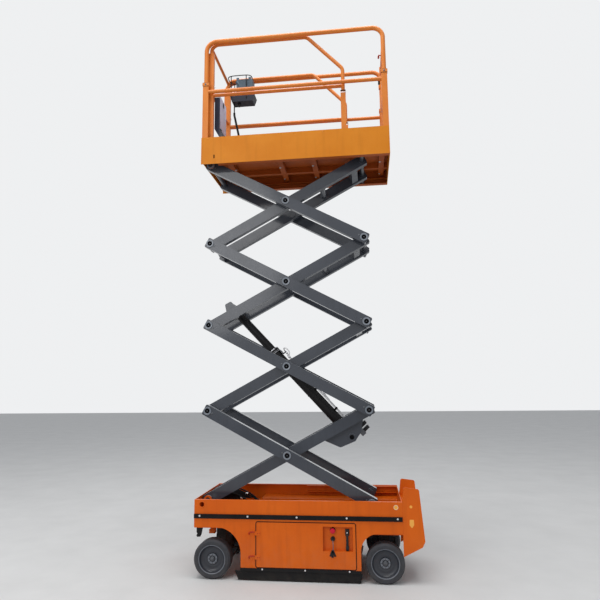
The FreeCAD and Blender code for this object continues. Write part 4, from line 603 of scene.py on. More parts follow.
# %% [markdown]
# ## Axles and steering
# Under the front wing show the nuts of the kingpins, the bolts of the wheel motors, a black tow bracket
# and the steering stops. They are small, but from the front and from below they explain the mechanism.
# Their places come from the CAD joints, so a nut stays over its pin if the CAD model changes.

# %% Steering knuckles
MOTOR_BOLTS = 6
MOTOR_FACE = 0.046
MOTOR_BOLT_CIRCLE = 0.052


def make_knuckle_trim(side, out):
    """Kingpin nut, tie rod nut and motor bolts on one steering knuckle."""
    low, high = corners("knuckle_" + side)
    pin = JOINT_AT["steer_" + side]
    mesh = bmesh.new()
    add_bolt(mesh, (pin.x, pin.y, high.z), (0, 0, 1), 0.0115, 0.010)
    add_bolt(mesh, (JOINT_AT["tie_rod_pivot"].x, pin.y, low.z), (0, 0, -1), 0.0095, 0.006)
    drum = pin + Vector((0.0, out * MOTOR_FACE, 0.0))
    for place in bolt_circle(drum, MOTOR_BOLT_CIRCLE, MOTOR_BOLTS, 0.5):
        add_bolt(mesh, place, (0, -out, 0), 0.0055)
    finish_piece("knuckle_bolts_" + side, mesh, DARK_STEEL, side + "_knuckle")


for side, out in SIDES:
    make_knuckle_trim(side, out)
print("steering knuckles dressed:", len(SIDES))

# %% Tow brackets and steering stops
FRONT_WING = 0.397
TOW_BRACKET_Y = 0.345
TOW_BRACKET = ((0.925, FRONT_WING), (0.925, 0.352), (0.917, 0.343), (0.927, 0.330), (0.919, 0.316),
               (0.894, 0.318), (0.884, 0.335), (0.872, FRONT_WING))
STOP_FOOT = ((0.800, 0.19, 0.316), (0.852, 0.24, 0.350), 0.003)
STOP_POST = ((0.812, 0.20, 0.349), (0.840, 0.23, FRONT_WING), 0.002)


def make_front_underside():
    """Tow brackets in front of the wheels and the orange steering stops above the yokes."""
    brackets, stops = bmesh.new(), bmesh.new()
    for side, out in SIDES:
        add_plate(brackets, upright(TOW_BRACKET, TOW_BRACKET_Y * out), 0.010, (0, out, 0))
        for low, high, soft in (STOP_FOOT, STOP_POST):
            add_side_block(stops, out, low, high, soft)
    finish_piece("tow_brackets", brackets, BLACK_PAINT, "chassis")
    finish_piece("steering_stops", stops, FRAME_ORANGE, "chassis")


make_front_underside()
print("a tow bracket has", len(TOW_BRACKET), "corners")

# %% [markdown]
# The hoses rise from the pump, run over a black bracket on each side and go down to the front pivots. Each is
# a NURBS line through a few points, and the second hose of a pair is the same line a little further out
# and, over the bracket, a little higher: the last number of each point says whether that point is raised.

# %% Front hoses
HOSE_BRACKET_Y = 0.088
HOSE_BRACKET = ((0.868, 0.545), (0.868, 0.604), (0.835, 0.622), (0.705, 0.638), (0.545, 0.545))
HOSE_ROUTE = ((0.47, 0.500, 0), (0.55, 0.560, 1), (0.66, 0.606, 1), (0.76, 0.628, 1), (0.85, 0.610, 1),
              (0.890, 0.570, 0), (0.905, 0.500, 0))
HOSE_Y = 0.102
HOSE_PITCH = 0.014
HOSE_RADIUS = 0.0066
SLEEVE = ((-0.010, 0.0085), (-0.010, 0.0105), (0.010, 0.0105), (0.010, 0.0085))
SLEEVES = ((0.60, 0.582), (0.79, 0.6257))


def make_front_hoses():
    """Brackets, a pair of hoses on each side, and the pale sleeves round the inner hoses."""
    plates, hoses, sleeves = bmesh.new(), bmesh.new(), bmesh.new()
    for side, out in SIDES:
        add_plate(plates, upright(HOSE_BRACKET, HOSE_BRACKET_Y * out), 0.006, (0, out, 0))
        for rise in (0.0, HOSE_PITCH):
            line = [(x, (HOSE_Y + rise) * out, z + raised * rise) for x, z, raised in HOSE_ROUTE]
            add_tube(hoses, line, HOSE_RADIUS)
        for x, z in SLEEVES:
            add_turned(sleeves, SLEEVE, (x, HOSE_Y * out, z), (1, 0, 0.2), 24)
    finish_piece("front_brackets", plates, BLACK_PAINT, "chassis")
    finish_piece("front_hoses", hoses, BLACK_RUBBER, "chassis")
    finish_piece("hose_sleeves", sleeves, PALE_STEEL, "chassis")


make_front_hoses()
print("front hoses:", 2 * len(SIDES))

# %% [markdown]
# ## Chassis sides
# The rub strip is held by five pale screws, and three more hold the sill. The strips are already as wide as
# the machine may be, so their screws have flat heads, flush with the rubber. A black rubber seal runs round
# each door opening, which gives the dark line in the picture; its band is wider than the gap and is also
# painted shade of the door gap. Two rounded outlines, one a little larger, are bridged to a band and
# extruded.

# %% Strip and sill screws
STRIP_SCREWS = (0.887, 0.483, 0.079, -0.324, -0.727)
SILL_SCREWS = (0.3625, 0.015, -0.338)
SILL_SCREW_LEVEL = 0.0905
STRIP_SCREW_RISE = 0.003
FLUSH_HEAD = ((-0.0010, 0.0), (-0.0010, 0.0072), (0.00002, 0.0075), (0.00002, 0.0))


def make_side_screws():
    """The screws of the rub strips and of the sills, on both sides."""
    low, high = corners("rub_strips")
    level = (low.z + high.z) / 2 + STRIP_SCREW_RISE
    mesh = bmesh.new()
    for side, out in SIDES:
        for x in STRIP_SCREWS:
            add_turned(mesh, FLUSH_HEAD, (x, out * high.y, level), (0, out, 0), 24)
    finish_piece("strip_screws", mesh, PALE_STEEL, "chassis")
    face = corners("guard_sills")[1].y
    mesh = bmesh.new()
    for side, out in SIDES:
        for x in SILL_SCREWS:
            add_button_head(mesh, (x, out * face, SILL_SCREW_LEVEL), (0, out, 0), 0.0065, 0.003)
    finish_piece("sill_screws", mesh, PALE_STEEL, "chassis")


make_side_screws()
print("screws in the strips:", 2 * len(STRIP_SCREWS), "and in the sills:", 2 * len(SILL_SCREWS))

# %% Door seals
DOOR_OPENING = ((-0.392, 0.414), (0.104, 0.452))
DOOR_CORNER = 0.014
SEAL_FACE = 0.3948
SEAL_WIDTH = 0.005
SEAL_WALL = 0.0016
CORNER_STEPS = 4


def add_opening_ring(mesh, y, grow):
    """The rounded outline of the door opening, grown by a margin, as a closed loop of edges."""
    (rear, front), (low, high) = DOOR_OPENING
    middles = ((front - DOOR_CORNER, high - DOOR_CORNER), (rear + DOOR_CORNER, high - DOOR_CORNER),
               (rear + DOOR_CORNER, low + DOOR_CORNER), (front - DOOR_CORNER, low + DOOR_CORNER))
    reach = DOOR_CORNER + grow
    ring = []
    for quarter, (x, z) in enumerate(middles):
        for step in range(CORNER_STEPS + 1):
            angle = math.pi / 2 * (quarter + step / CORNER_STEPS)
            ring.append(mesh.verts.new((x + math.cos(angle) * reach, y, z + math.sin(angle) * reach)))
    return [mesh.edges.new(pair) for pair in zip(ring, ring[1:] + ring[:1])]


def make_door_seals_and_gap_shade():
    """A thin rubber lip round each door opening, on the skirt's side of the gap; its black is also painted
    shade of the gap.
    """
    for side, out in SIDES:
        mesh = bmesh.new()
        # The black band is wider than the gap: a seal, and painted shade of the door gap.
        edges = [edge for grow in (0.0, SEAL_WIDTH) for edge in add_opening_ring(mesh, out * SEAL_FACE, grow)]
        bmesh.ops.bridge_loops(mesh, edges=edges)
        made = bmesh.ops.extrude_face_region(mesh, geom=mesh.faces[:])
        verts = [item for item in made["geom"] if isinstance(item, bmesh.types.BMVert)]
        bmesh.ops.translate(mesh, vec=(0.0, out * SEAL_WALL, 0.0), verts=verts)
        finish_piece("door_seal_and_gap_shade_" + side, mesh, BLACK_RUBBER, "chassis")


make_door_seals_and_gap_shade()
print("door seals:", len(SIDES), "each round an opening", DOOR_OPENING)

# %% [markdown]
# ## Doors and ground controls
# The recess in the left door holds a red stop button, a key switch with its fob and a black release
# handle. The button is a turned mushroom, the handle a plate with a grip and the fob three flat tags that
# hang from a strap, all proud enough to show beside the plain CAD switches that they cover.

# %% Stop button
RECESS_BACK = 0.359
STOP_BUTTON_AT = (-0.208, 0.391)
STOP_HEAD_FOOT = 0.3765
STOP_HEAD = ((0.0, 0.0), (0.0, 0.0192), (0.0022, 0.0206), (0.0090, 0.0206), (0.0122, 0.0188),
             (0.0136, 0.0130), (0.0140, 0.0))
STOP_PLATE = ((0.0, 0.0140), (0.0, 0.0225), (0.0035, 0.0225), (0.0050, 0.0205), (0.0050, 0.0140))


def make_stop_button():
    """The mushroom head and the black ring on the recess behind it."""
    x, z = STOP_BUTTON_AT
    mesh = bmesh.new()
    add_turned(mesh, STOP_HEAD, (x, STOP_HEAD_FOOT, z), (0, 1, 0))
    finish_piece("stop_button_head", mesh, SWITCH_RED, "left_door")
    mesh = bmesh.new()
    add_turned(mesh, STOP_PLATE, (x, RECESS_BACK, z), (0, 1, 0), 36)
    finish_piece("stop_button_plate", mesh, SWITCH_BLACK, "left_door")


make_stop_button()
print("stop button at", STOP_BUTTON_AT)

# %% Key switch with its fob
KEY_AT = (-0.208, 0.327)
KEY_SOCKET = ((0.0, 0.0), (0.0, 0.0180), (0.0110, 0.0180), (0.0140, 0.0160), (0.0140, 0.0))
KEY_SOCKET_FOOT = 0.3585
FOB_TAGS = ((24, 0.046, -0.010), (-4, 0.052, 0.001), (-22, 0.044, 0.011))
FOB_TOP = 0.250
FOB_HANG = 0.244
STRAP_ROUTE = ((0.0, 0.389, -0.006), (-0.002, 0.393, -0.022), (-0.004, 0.3965, -0.045),
               (-0.003, 0.3985, -0.068), (-0.002, 0.3985, -0.082))
STRAP_RING = ((-0.0012, 0.0085), (0.0, 0.0075), (0.0012, 0.0085), (0.0, 0.0097))


def make_key_switch():
    """The switch and its key, three tags fanned out below it, and the strap between them."""
    x, z = KEY_AT
    mesh = bmesh.new()
    add_turned(mesh, KEY_SOCKET, (x, KEY_SOCKET_FOOT, z), (0, 1, 0), 36)
    add_block(mesh, (x - 0.0085, 0.376, z - 0.010), (x + 0.0085, 0.390, z + 0.008), 0.003)
    for lean, reach, shift in FOB_TAGS:
        tag = Matrix.Rotation(math.radians(lean), 4, "Y")
        low, high = (x + shift - 0.008, 0.3968, FOB_HANG - reach), (x + shift + 0.008, 0.4000, FOB_TOP)
        add_block(mesh, low, high, 0.0015, tag)
    finish_piece("key_and_fob", mesh, SWITCH_BLACK, "left_door")
    mesh = bmesh.new()
    add_tube(mesh, [(x + shift, y, z + drop) for shift, y, drop in STRAP_ROUTE], 0.0032)
    add_turned(mesh, STRAP_RING, (x - 0.002, 0.3985, z - 0.083), (0, 1, 0), 24)
    finish_piece("key_strap", mesh, STRAP_GREY, "left_door")


make_key_switch()
print("key switch at", KEY_AT, "with", len(FOB_TAGS), "tags on its fob")

# %% Release handle and door fittings
HANDLE_AT = (-0.324, 0.3994)
HINGE_LEVELS = (0.364, 0.180)
HINGE_SCREWS = (0.388, 0.402)
HOOK_ROUTE = ((0.424, 0.3998, 0.010), (0.440, 0.3998, 0.010), (0.470, 0.3998, 0.009), (0.474, 0.3998, -0.004),
              (0.470, 0.393, -0.010))


def make_release_handle():
    """A plate with a thicker grip below it and the screw that holds it."""
    x, top = HANDLE_AT
    mesh = bmesh.new()
    add_block(mesh, (x - 0.016, RECESS_BACK, top - 0.046), (x + 0.016, 0.372, top + 0.004), 0.002)
    add_block(mesh, (x - 0.0095, 0.366, top - 0.150), (x + 0.0095, 0.3805, top - 0.012), 0.003)
    add_block(mesh, (x - 0.0125, 0.364, top - 0.158), (x + 0.0125, 0.383, top - 0.122), 0.004)
    finish_piece("release_handle", mesh, SWITCH_BLACK, "left_door")
    mesh = bmesh.new()
    add_button_head(mesh, (x, 0.3805, top - 0.022), (0, 1, 0), 0.005, 0.003)
    finish_piece("release_screw", mesh, PALE_STEEL, "left_door")


def make_door_details():
    """Hinge screws on both doors, the hooks they hang on, and a black paddle latch on the right door."""
    for side, out in SIDES:
        mesh = bmesh.new()
        for level in HINGE_LEVELS:
            for x in HINGE_SCREWS:
                add_button_head(mesh, (x, out * 0.399, level), (0, out, 0), 0.0038, 0.0018)
        finish_piece("hinge_screws_" + side, mesh, RED_ORANGE, side + "_door")
    for side, out in SIDES:
        mesh = bmesh.new()
        for level in HINGE_LEVELS:
            add_tube(mesh, [(x, y * out, level + rise) for x, y, rise in HOOK_ROUTE], 0.0048)
        finish_piece("hinge_hooks_" + side, mesh, RED_ORANGE, "chassis")
    mesh = bmesh.new()
    add_block(mesh, (-0.345, -0.3995, 0.262), (-0.262, -0.3945, 0.322), 0.003)
    add_block(mesh, (-0.335, -0.4040, 0.272), (-0.272, -0.3990, 0.302), 0.002)
    finish_piece("door_latch_right", mesh, SWITCH_BLACK, "right_door")


make_release_handle()
make_door_details()
print("hinges on each door:", len(HINGE_LEVELS))

# %% [markdown]
# ## Tags, ladder and tie-downs
# Where the real machine carries stickers there are bare discs and plates here. The ladder's treads have
# rows of raised grip rings, pressed from the sheet on the real one, and the tie-down holes a rolled edge.
# A ring is cheap as a turned shape with few sides, because there are twenty-seven of them.

# %% Tags
ROUND_TAG_AT = (-0.716, 0.581)
TAG_RING = ((0.0, 0.0150), (0.0009, 0.0150), (0.0009, 0.0182), (0.0, 0.0182))
SHIELD = ((-0.852, 0.489), (-0.820, 0.489), (-0.818, 0.448), (-0.836, 0.425), (-0.854, 0.448))


def make_tags():
    """Blank discs and plates on both sides and on the ladder's near plate."""
    x, z = ROUND_TAG_AT
    mesh = bmesh.new()
    add_rod(mesh, (x, 0.395, z), (x, 0.3956, z), 0.0185, 36)
    finish_piece("round_tag", mesh, TAG_ORANGE, "chassis")
    mesh = bmesh.new()
    add_turned(mesh, TAG_RING, (x, 0.3955, z), (0, 1, 0))
    add_rod(mesh, (-0.708, -0.387, 0.603), (-0.708, -0.3862, 0.603), 0.016, 36)
    finish_piece("tag_rings", mesh, PALE_TAG, "chassis")
    mesh = bmesh.new()
    face = corners("rear_ladder")[1].y
    add_plate(mesh, upright(SHIELD, face), 0.0008, (0, 1, 0))
    add_rod(mesh, (-0.834, face, 0.586), (-0.834, face + 0.0008, 0.586), 0.011, 32)
    finish_piece("ladder_tags", mesh, TAG_ORANGE, "chassis")


make_tags()
print("round tag at", ROUND_TAG_AT)

# %% Ladder and tie-downs
TREAD_TOPS = (0.324, 0.460, 0.596)
TREAD_X = -0.860
GRIPS = 9
GRIP_MARGIN = 0.045
GRIP_RING = ((-0.001, 0.010), (0.0016, 0.0088), (0.0016, 0.0072), (-0.001, 0.006))
TIE_DOWN_AT = (0.871, 0.395, 0.582)
ROLLED_EDGE = ((-0.0085, 0.0205), (0.0012, 0.0205), (0.0022, 0.0222), (0.0022, 0.0248), (0.0008, 0.0262),
               (-0.0005, 0.0262), (-0.0005, 0.0225), (-0.0085, 0.0225))


def make_ladder_grips():
    """Raised rings on each tread, in a loop over treads and places."""
    low, high = corners("rear_ladder")
    mesh = bmesh.new()
    for level in TREAD_TOPS:
        for index in range(GRIPS):
            y = low.y + GRIP_MARGIN + (high.y - low.y - 2 * GRIP_MARGIN) * index / (GRIPS - 1)
            add_turned(mesh, GRIP_RING, (TREAD_X, y, level), (0, 0, 1), 12)
    finish_piece("tread_rings", mesh, FRAME_ORANGE, "chassis")


def make_tie_down_edges():
    """The rolled edge of the hole at each front corner."""
    x, y, z = TIE_DOWN_AT
    mesh = bmesh.new()
    for side, out in SIDES:
        add_turned(mesh, ROLLED_EDGE, (x, y * out, z), (0, out, 0), 48)
    finish_piece("tie_down_edges", mesh, FRAME_ORANGE, "chassis")


make_ladder_grips()
make_tie_down_edges()
print("grip rings on the ladder:", GRIPS * len(TREAD_TOPS))

# %% [markdown]
# ## Scissor pins
# A steel ring is welded on each arm round its pin, and the pin sits a little inside it, so from the side
# it is a pale ring with a dark middle; the pin's end is near black: painted shade in the bore. A small
# bolt beside the ring keeps the pin from turning. The places follow from the CAD joints: each stage's
# middle pin, and half a stage to either side of it. A loop over the stages, the sides and the three pins
# then makes them all alike.

# %% Pin places
BASE_PIN = JOINT_AT["lift"]
MID_PINS = [JOINT_AT[name] for name in ("outer_1_pivot", "inner_2_pivot", "outer_3_pivot", "inner_4_pivot")]
HALF_RISE = MID_PINS[0].z - BASE_PIN.z


def pins_of(stage, front_up):
    """The front, middle and rear pin places of one arm, all at y = 0."""
    middle = MID_PINS[stage - 1]
    half = Vector((BASE_PIN.x - middle.x, 0.0, HALF_RISE if front_up else -HALF_RISE))
    return middle + half, middle, middle - half


print("each stage rises by", round(2 * HALF_RISE, 3), "m")

# %% Arm pins and tube welds
ARM_FACE = 0.279
BOSS_FACE = 0.285
TOP_BOSS_FACE = 0.2998
PIN_FACE = 0.2802
NIPPLE_FOOT = 0.2814
KEEPER_OFF = 0.0475
ARM_RING = ((-0.004, 0.0345), (0.0006, 0.0345), (0.0016, 0.0335), (0.0016, 0.0240), (0.0008, 0.0222),
            (-0.004, 0.0222))
PIN_END = ((0.0, 0.0), (0.0, 0.0203), (0.0008, 0.0203), (0.0014, 0.0180), (0.0014, 0.0))
GREASE_NIPPLE = ((0.0, 0.0), (0.0, 0.0045), (0.0022, 0.0045), (0.0022, 0.0028), (0.0042, 0.0030),
                 (0.0050, 0.0))
CROSS_TUBES = (0.790, 0.430, 0.430, 0.430)
TUBE_END = 0.1465
WELD_BEAD = ((-0.0035, 0.0275), (0.0, 0.0330), (0.0035, 0.0275))


def make_arm_pins(stage):
    """Rings, pin ends, grease nipples and keeper bolts of one stage's outer arms."""
    front, middle, rear = pins_of(stage, True)
    along = (front - rear).normalized()
    rings, ends, bolts = bmesh.new(), bmesh.new(), bmesh.new()
    for side, out in SIDES:
        axis = Vector((0.0, out, 0.0))
        for pin, inward in ((front, -along), (middle, along), (rear, along)):
            add_turned(rings, ARM_RING, pin + axis * BOSS_FACE, axis)
            # The pin end is a near-black disc: painted shade in the ring's bore.
            add_turned(ends, PIN_END, pin + axis * PIN_FACE, axis, 32)
            add_turned(bolts, GREASE_NIPPLE, pin + axis * NIPPLE_FOOT, axis, 12)
            add_bolt(bolts, pin + inward * KEEPER_OFF + axis * ARM_FACE, axis, 0.0052)
        if stage == STAGES[-1]:
            add_turned(rings, ARM_RING, front + axis * TOP_BOSS_FACE, axis)
    finish_piece("pin_rings_%d" % stage, rings, RING_GREY, "outer_%d" % stage)
    finish_piece("pin_ends_%d" % stage, ends, PIN_BORE_SHADE, "outer_%d" % stage)
    finish_piece("keeper_bolts_%d" % stage, bolts, DARK_STEEL, "outer_%d" % stage)


def make_weld_beads(stage):
    """Beads where the cross tube meets the two inner arm tubes."""
    front, _, rear = pins_of(stage, False)
    centre = rear + (front - rear).normalized() * CROSS_TUBES[stage - 1]
    mesh = bmesh.new()
    for side, out in SIDES:
        add_turned(mesh, WELD_BEAD, centre + Vector((0.0, TUBE_END * out, 0.0)), (0, out, 0), 32)
    finish_piece("tube_welds_%d" % stage, mesh, ARM_GREY, "inner_%d" % stage)


for stage in STAGES:
    make_arm_pins(stage)
    make_weld_beads(stage)
print("stages dressed:", len(STAGES))

# %% [markdown]
# ## Lift cylinder
# The barrel has a bright gland with a wiper ring, a holding valve with its coils beside the foot, and hard
# pipes clipped along its upper side. Places on it are given as a distance along it, a distance off its
# axis and a distance across, because that is how such a cylinder is drawn.

# %% Places on the cylinder
FOOT = JOINT_AT["barrel_pivot"]
TILT = math.radians(47.04)
ALONG = Vector((math.cos(TILT), 0.0, math.sin(TILT)))
OFF = Vector((-math.sin(TILT), 0.0, math.cos(TILT)))
SLANT = Matrix.Rotation(-TILT, 4, "Y")


def on_barrel(along, off=0.0, across=0.0):
    """A place beside the cylinder: metres from its foot, off its axis and across the machine."""
    return FOOT + ALONG * along + OFF * off + Vector((0.0, across, 0.0))


def add_barrel_block(mesh, along, off, across, soft=0.002):
    """A block in the cylinder's own directions, from pairs of limits."""
    size = Vector((along[1] - along[0], across[1] - across[0], off[1] - off[0])) / 2
    middle = on_barrel(sum(along) / 2, sum(off) / 2, sum(across) / 2)
    add_block(mesh, middle - size, middle + size, soft, SLANT)


print("the cylinder's foot is at", [round(value, 3) for value in FOOT])

# %% Gland and pipes
GLAND_RINGS = ((1.0055, 0.004, 0.0568), (1.0180, 0.003, 0.0562), (1.0385, 0.006, 0.0560))
WIPER_AT = 1.0448
WIPER = ((0.0, 0.0385), (0.0, 0.0475), (0.0045, 0.0465), (0.0060, 0.0420), (0.0060, 0.0385))
PIPES = ((0.026, 0.0600, 0.885), (0.000, 0.0680, 0.930), (-0.026, 0.0600, 0.420))
PIPE_RISE = 0.012
PIPE_RADIUS = 0.0046
PIPE_NUTS = ((0.0, 0.020, 0.0085, 6), (0.018, 0.034, 0.0062, 16))
CLIPS = (0.27, 0.52, 0.76)
CLIP_BAND = ((-0.007, 0.0468), (-0.007, 0.0492), (0.007, 0.0492), (0.007, 0.0468))


def make_gland():
    """Three bright rings with chamfered edges and the wiper where the rod comes out."""
    mesh = bmesh.new()
    for start, wall, radius in GLAND_RINGS:
        ring = ((0.0, 0.054), (0.0006, radius), (wall - 0.0006, radius), (wall, 0.054))
        add_turned(mesh, ring, on_barrel(start), ALONG, 48)
    add_turned(mesh, WIPER, on_barrel(WIPER_AT), ALONG, 48)
    finish_piece("gland_rings", mesh, BRIGHT_STEEL, "barrel")


def make_pipes():
    """Three pipes that leave the valve, run beside the barrel and end in a nut and a stub."""
    pipes, fittings = bmesh.new(), bmesh.new()
    for across, off, end in PIPES:
        lift = off + PIPE_RISE
        route = ((0.050, 0.075), (0.100, 0.074), (0.150, off), (0.250, off), (end - 0.10, off),
                 (end - 0.04, lift), (end, lift))
        add_tube(pipes, [on_barrel(along, level, across) for along, level in route], PIPE_RADIUS)
        for start, stop, radius, sides in PIPE_NUTS:
            ends = [on_barrel(end + along, lift, across) for along in (start, stop)]
            add_rod(fittings, *ends, radius, sides, 0.001)
    finish_piece("hard_pipes", pipes, PALE_STEEL, "barrel")
    finish_piece("pipe_fittings", fittings, BRIGHT_STEEL, "barrel")
    bands = bmesh.new()
    for along in CLIPS:
        add_turned(bands, CLIP_BAND, on_barrel(along), ALONG, 48)
        add_barrel_block(bands, (along - 0.009, along + 0.009), (0.047, 0.074), (-0.036, 0.036))
    finish_piece("pipe_clips", bands, BLACK_PAINT, "barrel")


make_gland()
make_pipes()
print("pipes on the cylinder:", len(PIPES))

# %% [markdown]
# The valve block is bolted to the foot of the barrel and carries three coils, which look like short black
# drums with a nut on top. A list of their places keeps drums and nuts together.

# %% Foot pin and holding valve
FOOT_PLATE_FACE = 0.142
FOOT_RING = ((-0.001, 0.0310), (0.0030, 0.0300), (0.0030, 0.0205), (-0.001, 0.0205))
FOOT_PIN_END = ((0.0, 0.0), (0.0, 0.0205), (0.0012, 0.0205), (0.0016, 0.0180), (0.0016, 0.0))
VALVE_TOP = 0.109
COILS = ((-0.036, 0.006, 0.164), (0.008, -0.008, 0.172), (0.060, 0.010, 0.138))
VALVE_BOLTS = ((-0.058, -0.016), (-0.058, 0.016), (0.080, -0.020), (0.080, 0.020))


def make_foot_pin():
    """The pin's two ends, each in a ring on its foot plate."""
    rings, ends = bmesh.new(), bmesh.new()
    for side, out in SIDES:
        face = FOOT + Vector((0.0, FOOT_PLATE_FACE * out, 0.0))
        add_turned(rings, FOOT_RING, face, (0, out, 0))
        # The pin end is a near-black disc: painted shade in the ring's bore.
        add_turned(ends, FOOT_PIN_END, face, (0, out, 0), 32)
    finish_piece("foot_pin_rings", rings, ARM_GREY, "inner_1")
    finish_piece("foot_pin_end_shade", ends, PIN_BORE_SHADE, "inner_1")


def make_holding_valve():
    """The valve block on its saddle, its coils, and the nuts and bolts on top."""
    mesh = bmesh.new()
    add_barrel_block(mesh, (0.028, 0.092), (0.040, 0.108), (-0.036, 0.036), 0.003)
    add_barrel_block(mesh, (-0.066, 0.040), (0.066, 0.110), (-0.028, 0.028), 0.003)
    finish_piece("valve_block", mesh, DARK_STEEL, "barrel")
    coils, nuts = bmesh.new(), bmesh.new()
    for along, across, top in COILS:
        crown = on_barrel(along, top, across)
        add_rod(coils, on_barrel(along, VALVE_TOP, across), crown, 0.0170, 32, 0.002)
        add_rod(nuts, crown - OFF * 0.001, crown + OFF * 0.010, 0.0085, 6, 0.001)
    for along, across in VALVE_BOLTS:
        add_bolt(nuts, on_barrel(along, VALVE_TOP, across), OFF, 0.0055)
    finish_piece("valve_coils", coils, SWITCH_BLACK, "barrel")
    finish_piece("valve_nuts", nuts, PALE_STEEL, "barrel")


make_foot_pin()
make_holding_valve()
print("valve coils:", len(COILS))

# %% Gland hose and rod weld
GLAND_HOSE = ((0.960, 0.080, 0.000), (0.985, 0.082, 0.006), (0.992, 0.100, 0.016), (0.950, 0.112, 0.022),
              (0.915, 0.100, 0.026), (0.905, 0.072, 0.026))
ROD_WELD = ((0.0, 0.0365), (0.001, 0.0395), (0.010, 0.0400), (0.016, 0.0372))
WELD_FROM_END = 0.093


def make_gland_hose():
    """A short hose that loops from the pipe's end to the gland, with its bracket."""
    mesh = bmesh.new()
    add_tube(mesh, [on_barrel(*place) for place in GLAND_HOSE], 0.0048)
    finish_piece("gland_hose", mesh, PALE_STEEL, "barrel")
    mesh = bmesh.new()
    add_barrel_block(mesh, (0.955, 1.005), (0.050, 0.058), (-0.030, 0.030))
    add_barrel_block(mesh, (0.955, 0.961), (0.050, 0.088), (-0.024, 0.016))
    add_bolt(mesh, on_barrel(0.980, 0.058, 0.018), OFF, 0.0055)
    finish_piece("gland_bracket", mesh, DARK_STEEL, "barrel")


def make_rod_weld():
    """The bead that joins the rod to its eye."""
    high = corners("lift_ram")[1]
    reach = (Vector((high.x, 0.0, high.z)) - FOOT).length
    mesh = bmesh.new()
    add_turned(mesh, ROD_WELD, on_barrel(reach - WELD_FROM_END), ALONG)
    finish_piece("rod_weld", mesh, BLACK_PAINT, "ram")


make_gland_hose()
make_rod_weld()
print("the gland hose bends through", len(GLAND_HOSE), "points")

# %% [markdown]
# ## Platform
# The rails stand in square collars with a bolt on the outer and the inner face and a dark seam above and
# below. Rivets hold the side panels, and the roll-out deck's rear posts end in sockets with a black cap.
# Blocks that lie on both sides are given once, for the left side, and mirrored by the sign of the side.

# %% Rail collars and sockets
RAIL_Y = 0.366
COLLAR_POSTS = (0.9045, -0.7535)
COLLAR_LEVEL = 4.3526
COLLAR_FACE = 0.0205
SEAM_OFF = 0.0165
SOCKET_CAP = ((-0.402, 0.2985, 4.2095), (-0.354, 0.3375, 4.2215), 0.002)
SOCKET_BAND = ((-0.4012, 0.2993, 4.1960), (-0.3548, 0.3367, 4.2050), 0.0006)


def make_collar_bolts():
    """A bolt on the outer and inner face of each collar, and the collar's two seams."""
    bolts, seams = bmesh.new(), bmesh.new()
    for x in COLLAR_POSTS:
        for side, out in SIDES:
            for way in (1.0, -1.0):
                place = (x, RAIL_Y * out + way * COLLAR_FACE, COLLAR_LEVEL)
                add_bolt(bolts, place, (0.0, way, 0.0), 0.0062)
            for level in (COLLAR_LEVEL - SEAM_OFF, COLLAR_LEVEL + SEAM_OFF):
                add_side_block(seams, out, (x - 0.0256, RAIL_Y - 0.0208, level - 0.0014),
                               (x + 0.0256, RAIL_Y + 0.0208, level + 0.0014), 0.0006)
    finish_piece("collar_bolts", bolts, DARK_STEEL, "platform")
    finish_piece("collar_seams", seams, BLACK_PAINT, "platform")


def make_socket_caps():
    """Black caps and pale bands on the square sockets that hold the roll-out deck's rear posts."""
    caps, bands = bmesh.new(), bmesh.new()
    for side, out in SIDES:
        add_side_block(caps, out, *SOCKET_CAP)
        add_side_block(bands, out, *SOCKET_BAND)
    finish_piece("socket_caps", caps, BLACK_RUBBER, "extension")
    finish_piece("socket_bands", bands, PALE_STEEL, "extension")


make_collar_bolts()
make_socket_caps()
print("rail collars:", len(COLLAR_POSTS) * len(SIDES))

# %% Side panels and deck
RIVETS = 7
RIVET_MARGIN = 0.06
PANEL_SLOT = (0.052, 0.086)
DECK_BOLTS_X = (-0.70, -0.38, -0.06, 0.26, 0.70, 0.84)
DECK_BOLTS_Y = (-0.30, 0.0, 0.30)
DECK_UNDER = 0.0884


def make_panel_details():
    """Rivets along the side panels, a slot at each front corner and bolts under the deck."""
    low, high = corners("platform_panels")
    rivets, slots, bolts = bmesh.new(), bmesh.new(), bmesh.new()
    for side, out in SIDES:
        for index in range(RIVETS):
            x = low.x + RIVET_MARGIN + (high.x - low.x - 2 * RIVET_MARGIN) * index / (RIVETS - 1)
            add_button_head(rivets, (x, high.y * out, high.z - 0.016), (0, out, 0), 0.0055, 0.0022)
        bottom, top = (low.z + rise for rise in PANEL_SLOT)
        # The slot is a thin near-black plate: painted shade in the slot.
        add_side_block(slots, out, (0.8075, 0.3893, bottom), (0.8185, 0.3904, top), 0.0004)
    for x in DECK_BOLTS_X:
        for y in DECK_BOLTS_Y:
            add_bolt(bolts, (x, y, low.z + DECK_UNDER), (0, 0, -1), 0.0075)
    finish_piece("panel_rivets", rivets, PLATFORM_ORANGE_HAZE_LIT, "platform")
    finish_piece("panel_slot_shade", slots, PIN_BORE_SHADE, "platform")
    finish_piece("deck_bolts", bolts, PALE_STEEL, "platform")


make_panel_details()
print("rivets on each side panel:", RIVETS)

# %% [markdown]
# The gate at the rear swings on two round hinges and has a latch with a small lever. At the front a spring
# knob on a light chain locks the roll-out deck. The chain is a row of flat rings set along a sagging line,
# each a quarter turn from the last, as real links lie; an array modifier on a curve would do the same.

# %% Gate
HINGE_HALF = 0.024
GATE_LEVER = ((-0.738, 0.235, -0.112), (-0.722, 0.235, -0.104), (-0.716, 0.220, -0.092),
              (-0.716, 0.180, -0.088))


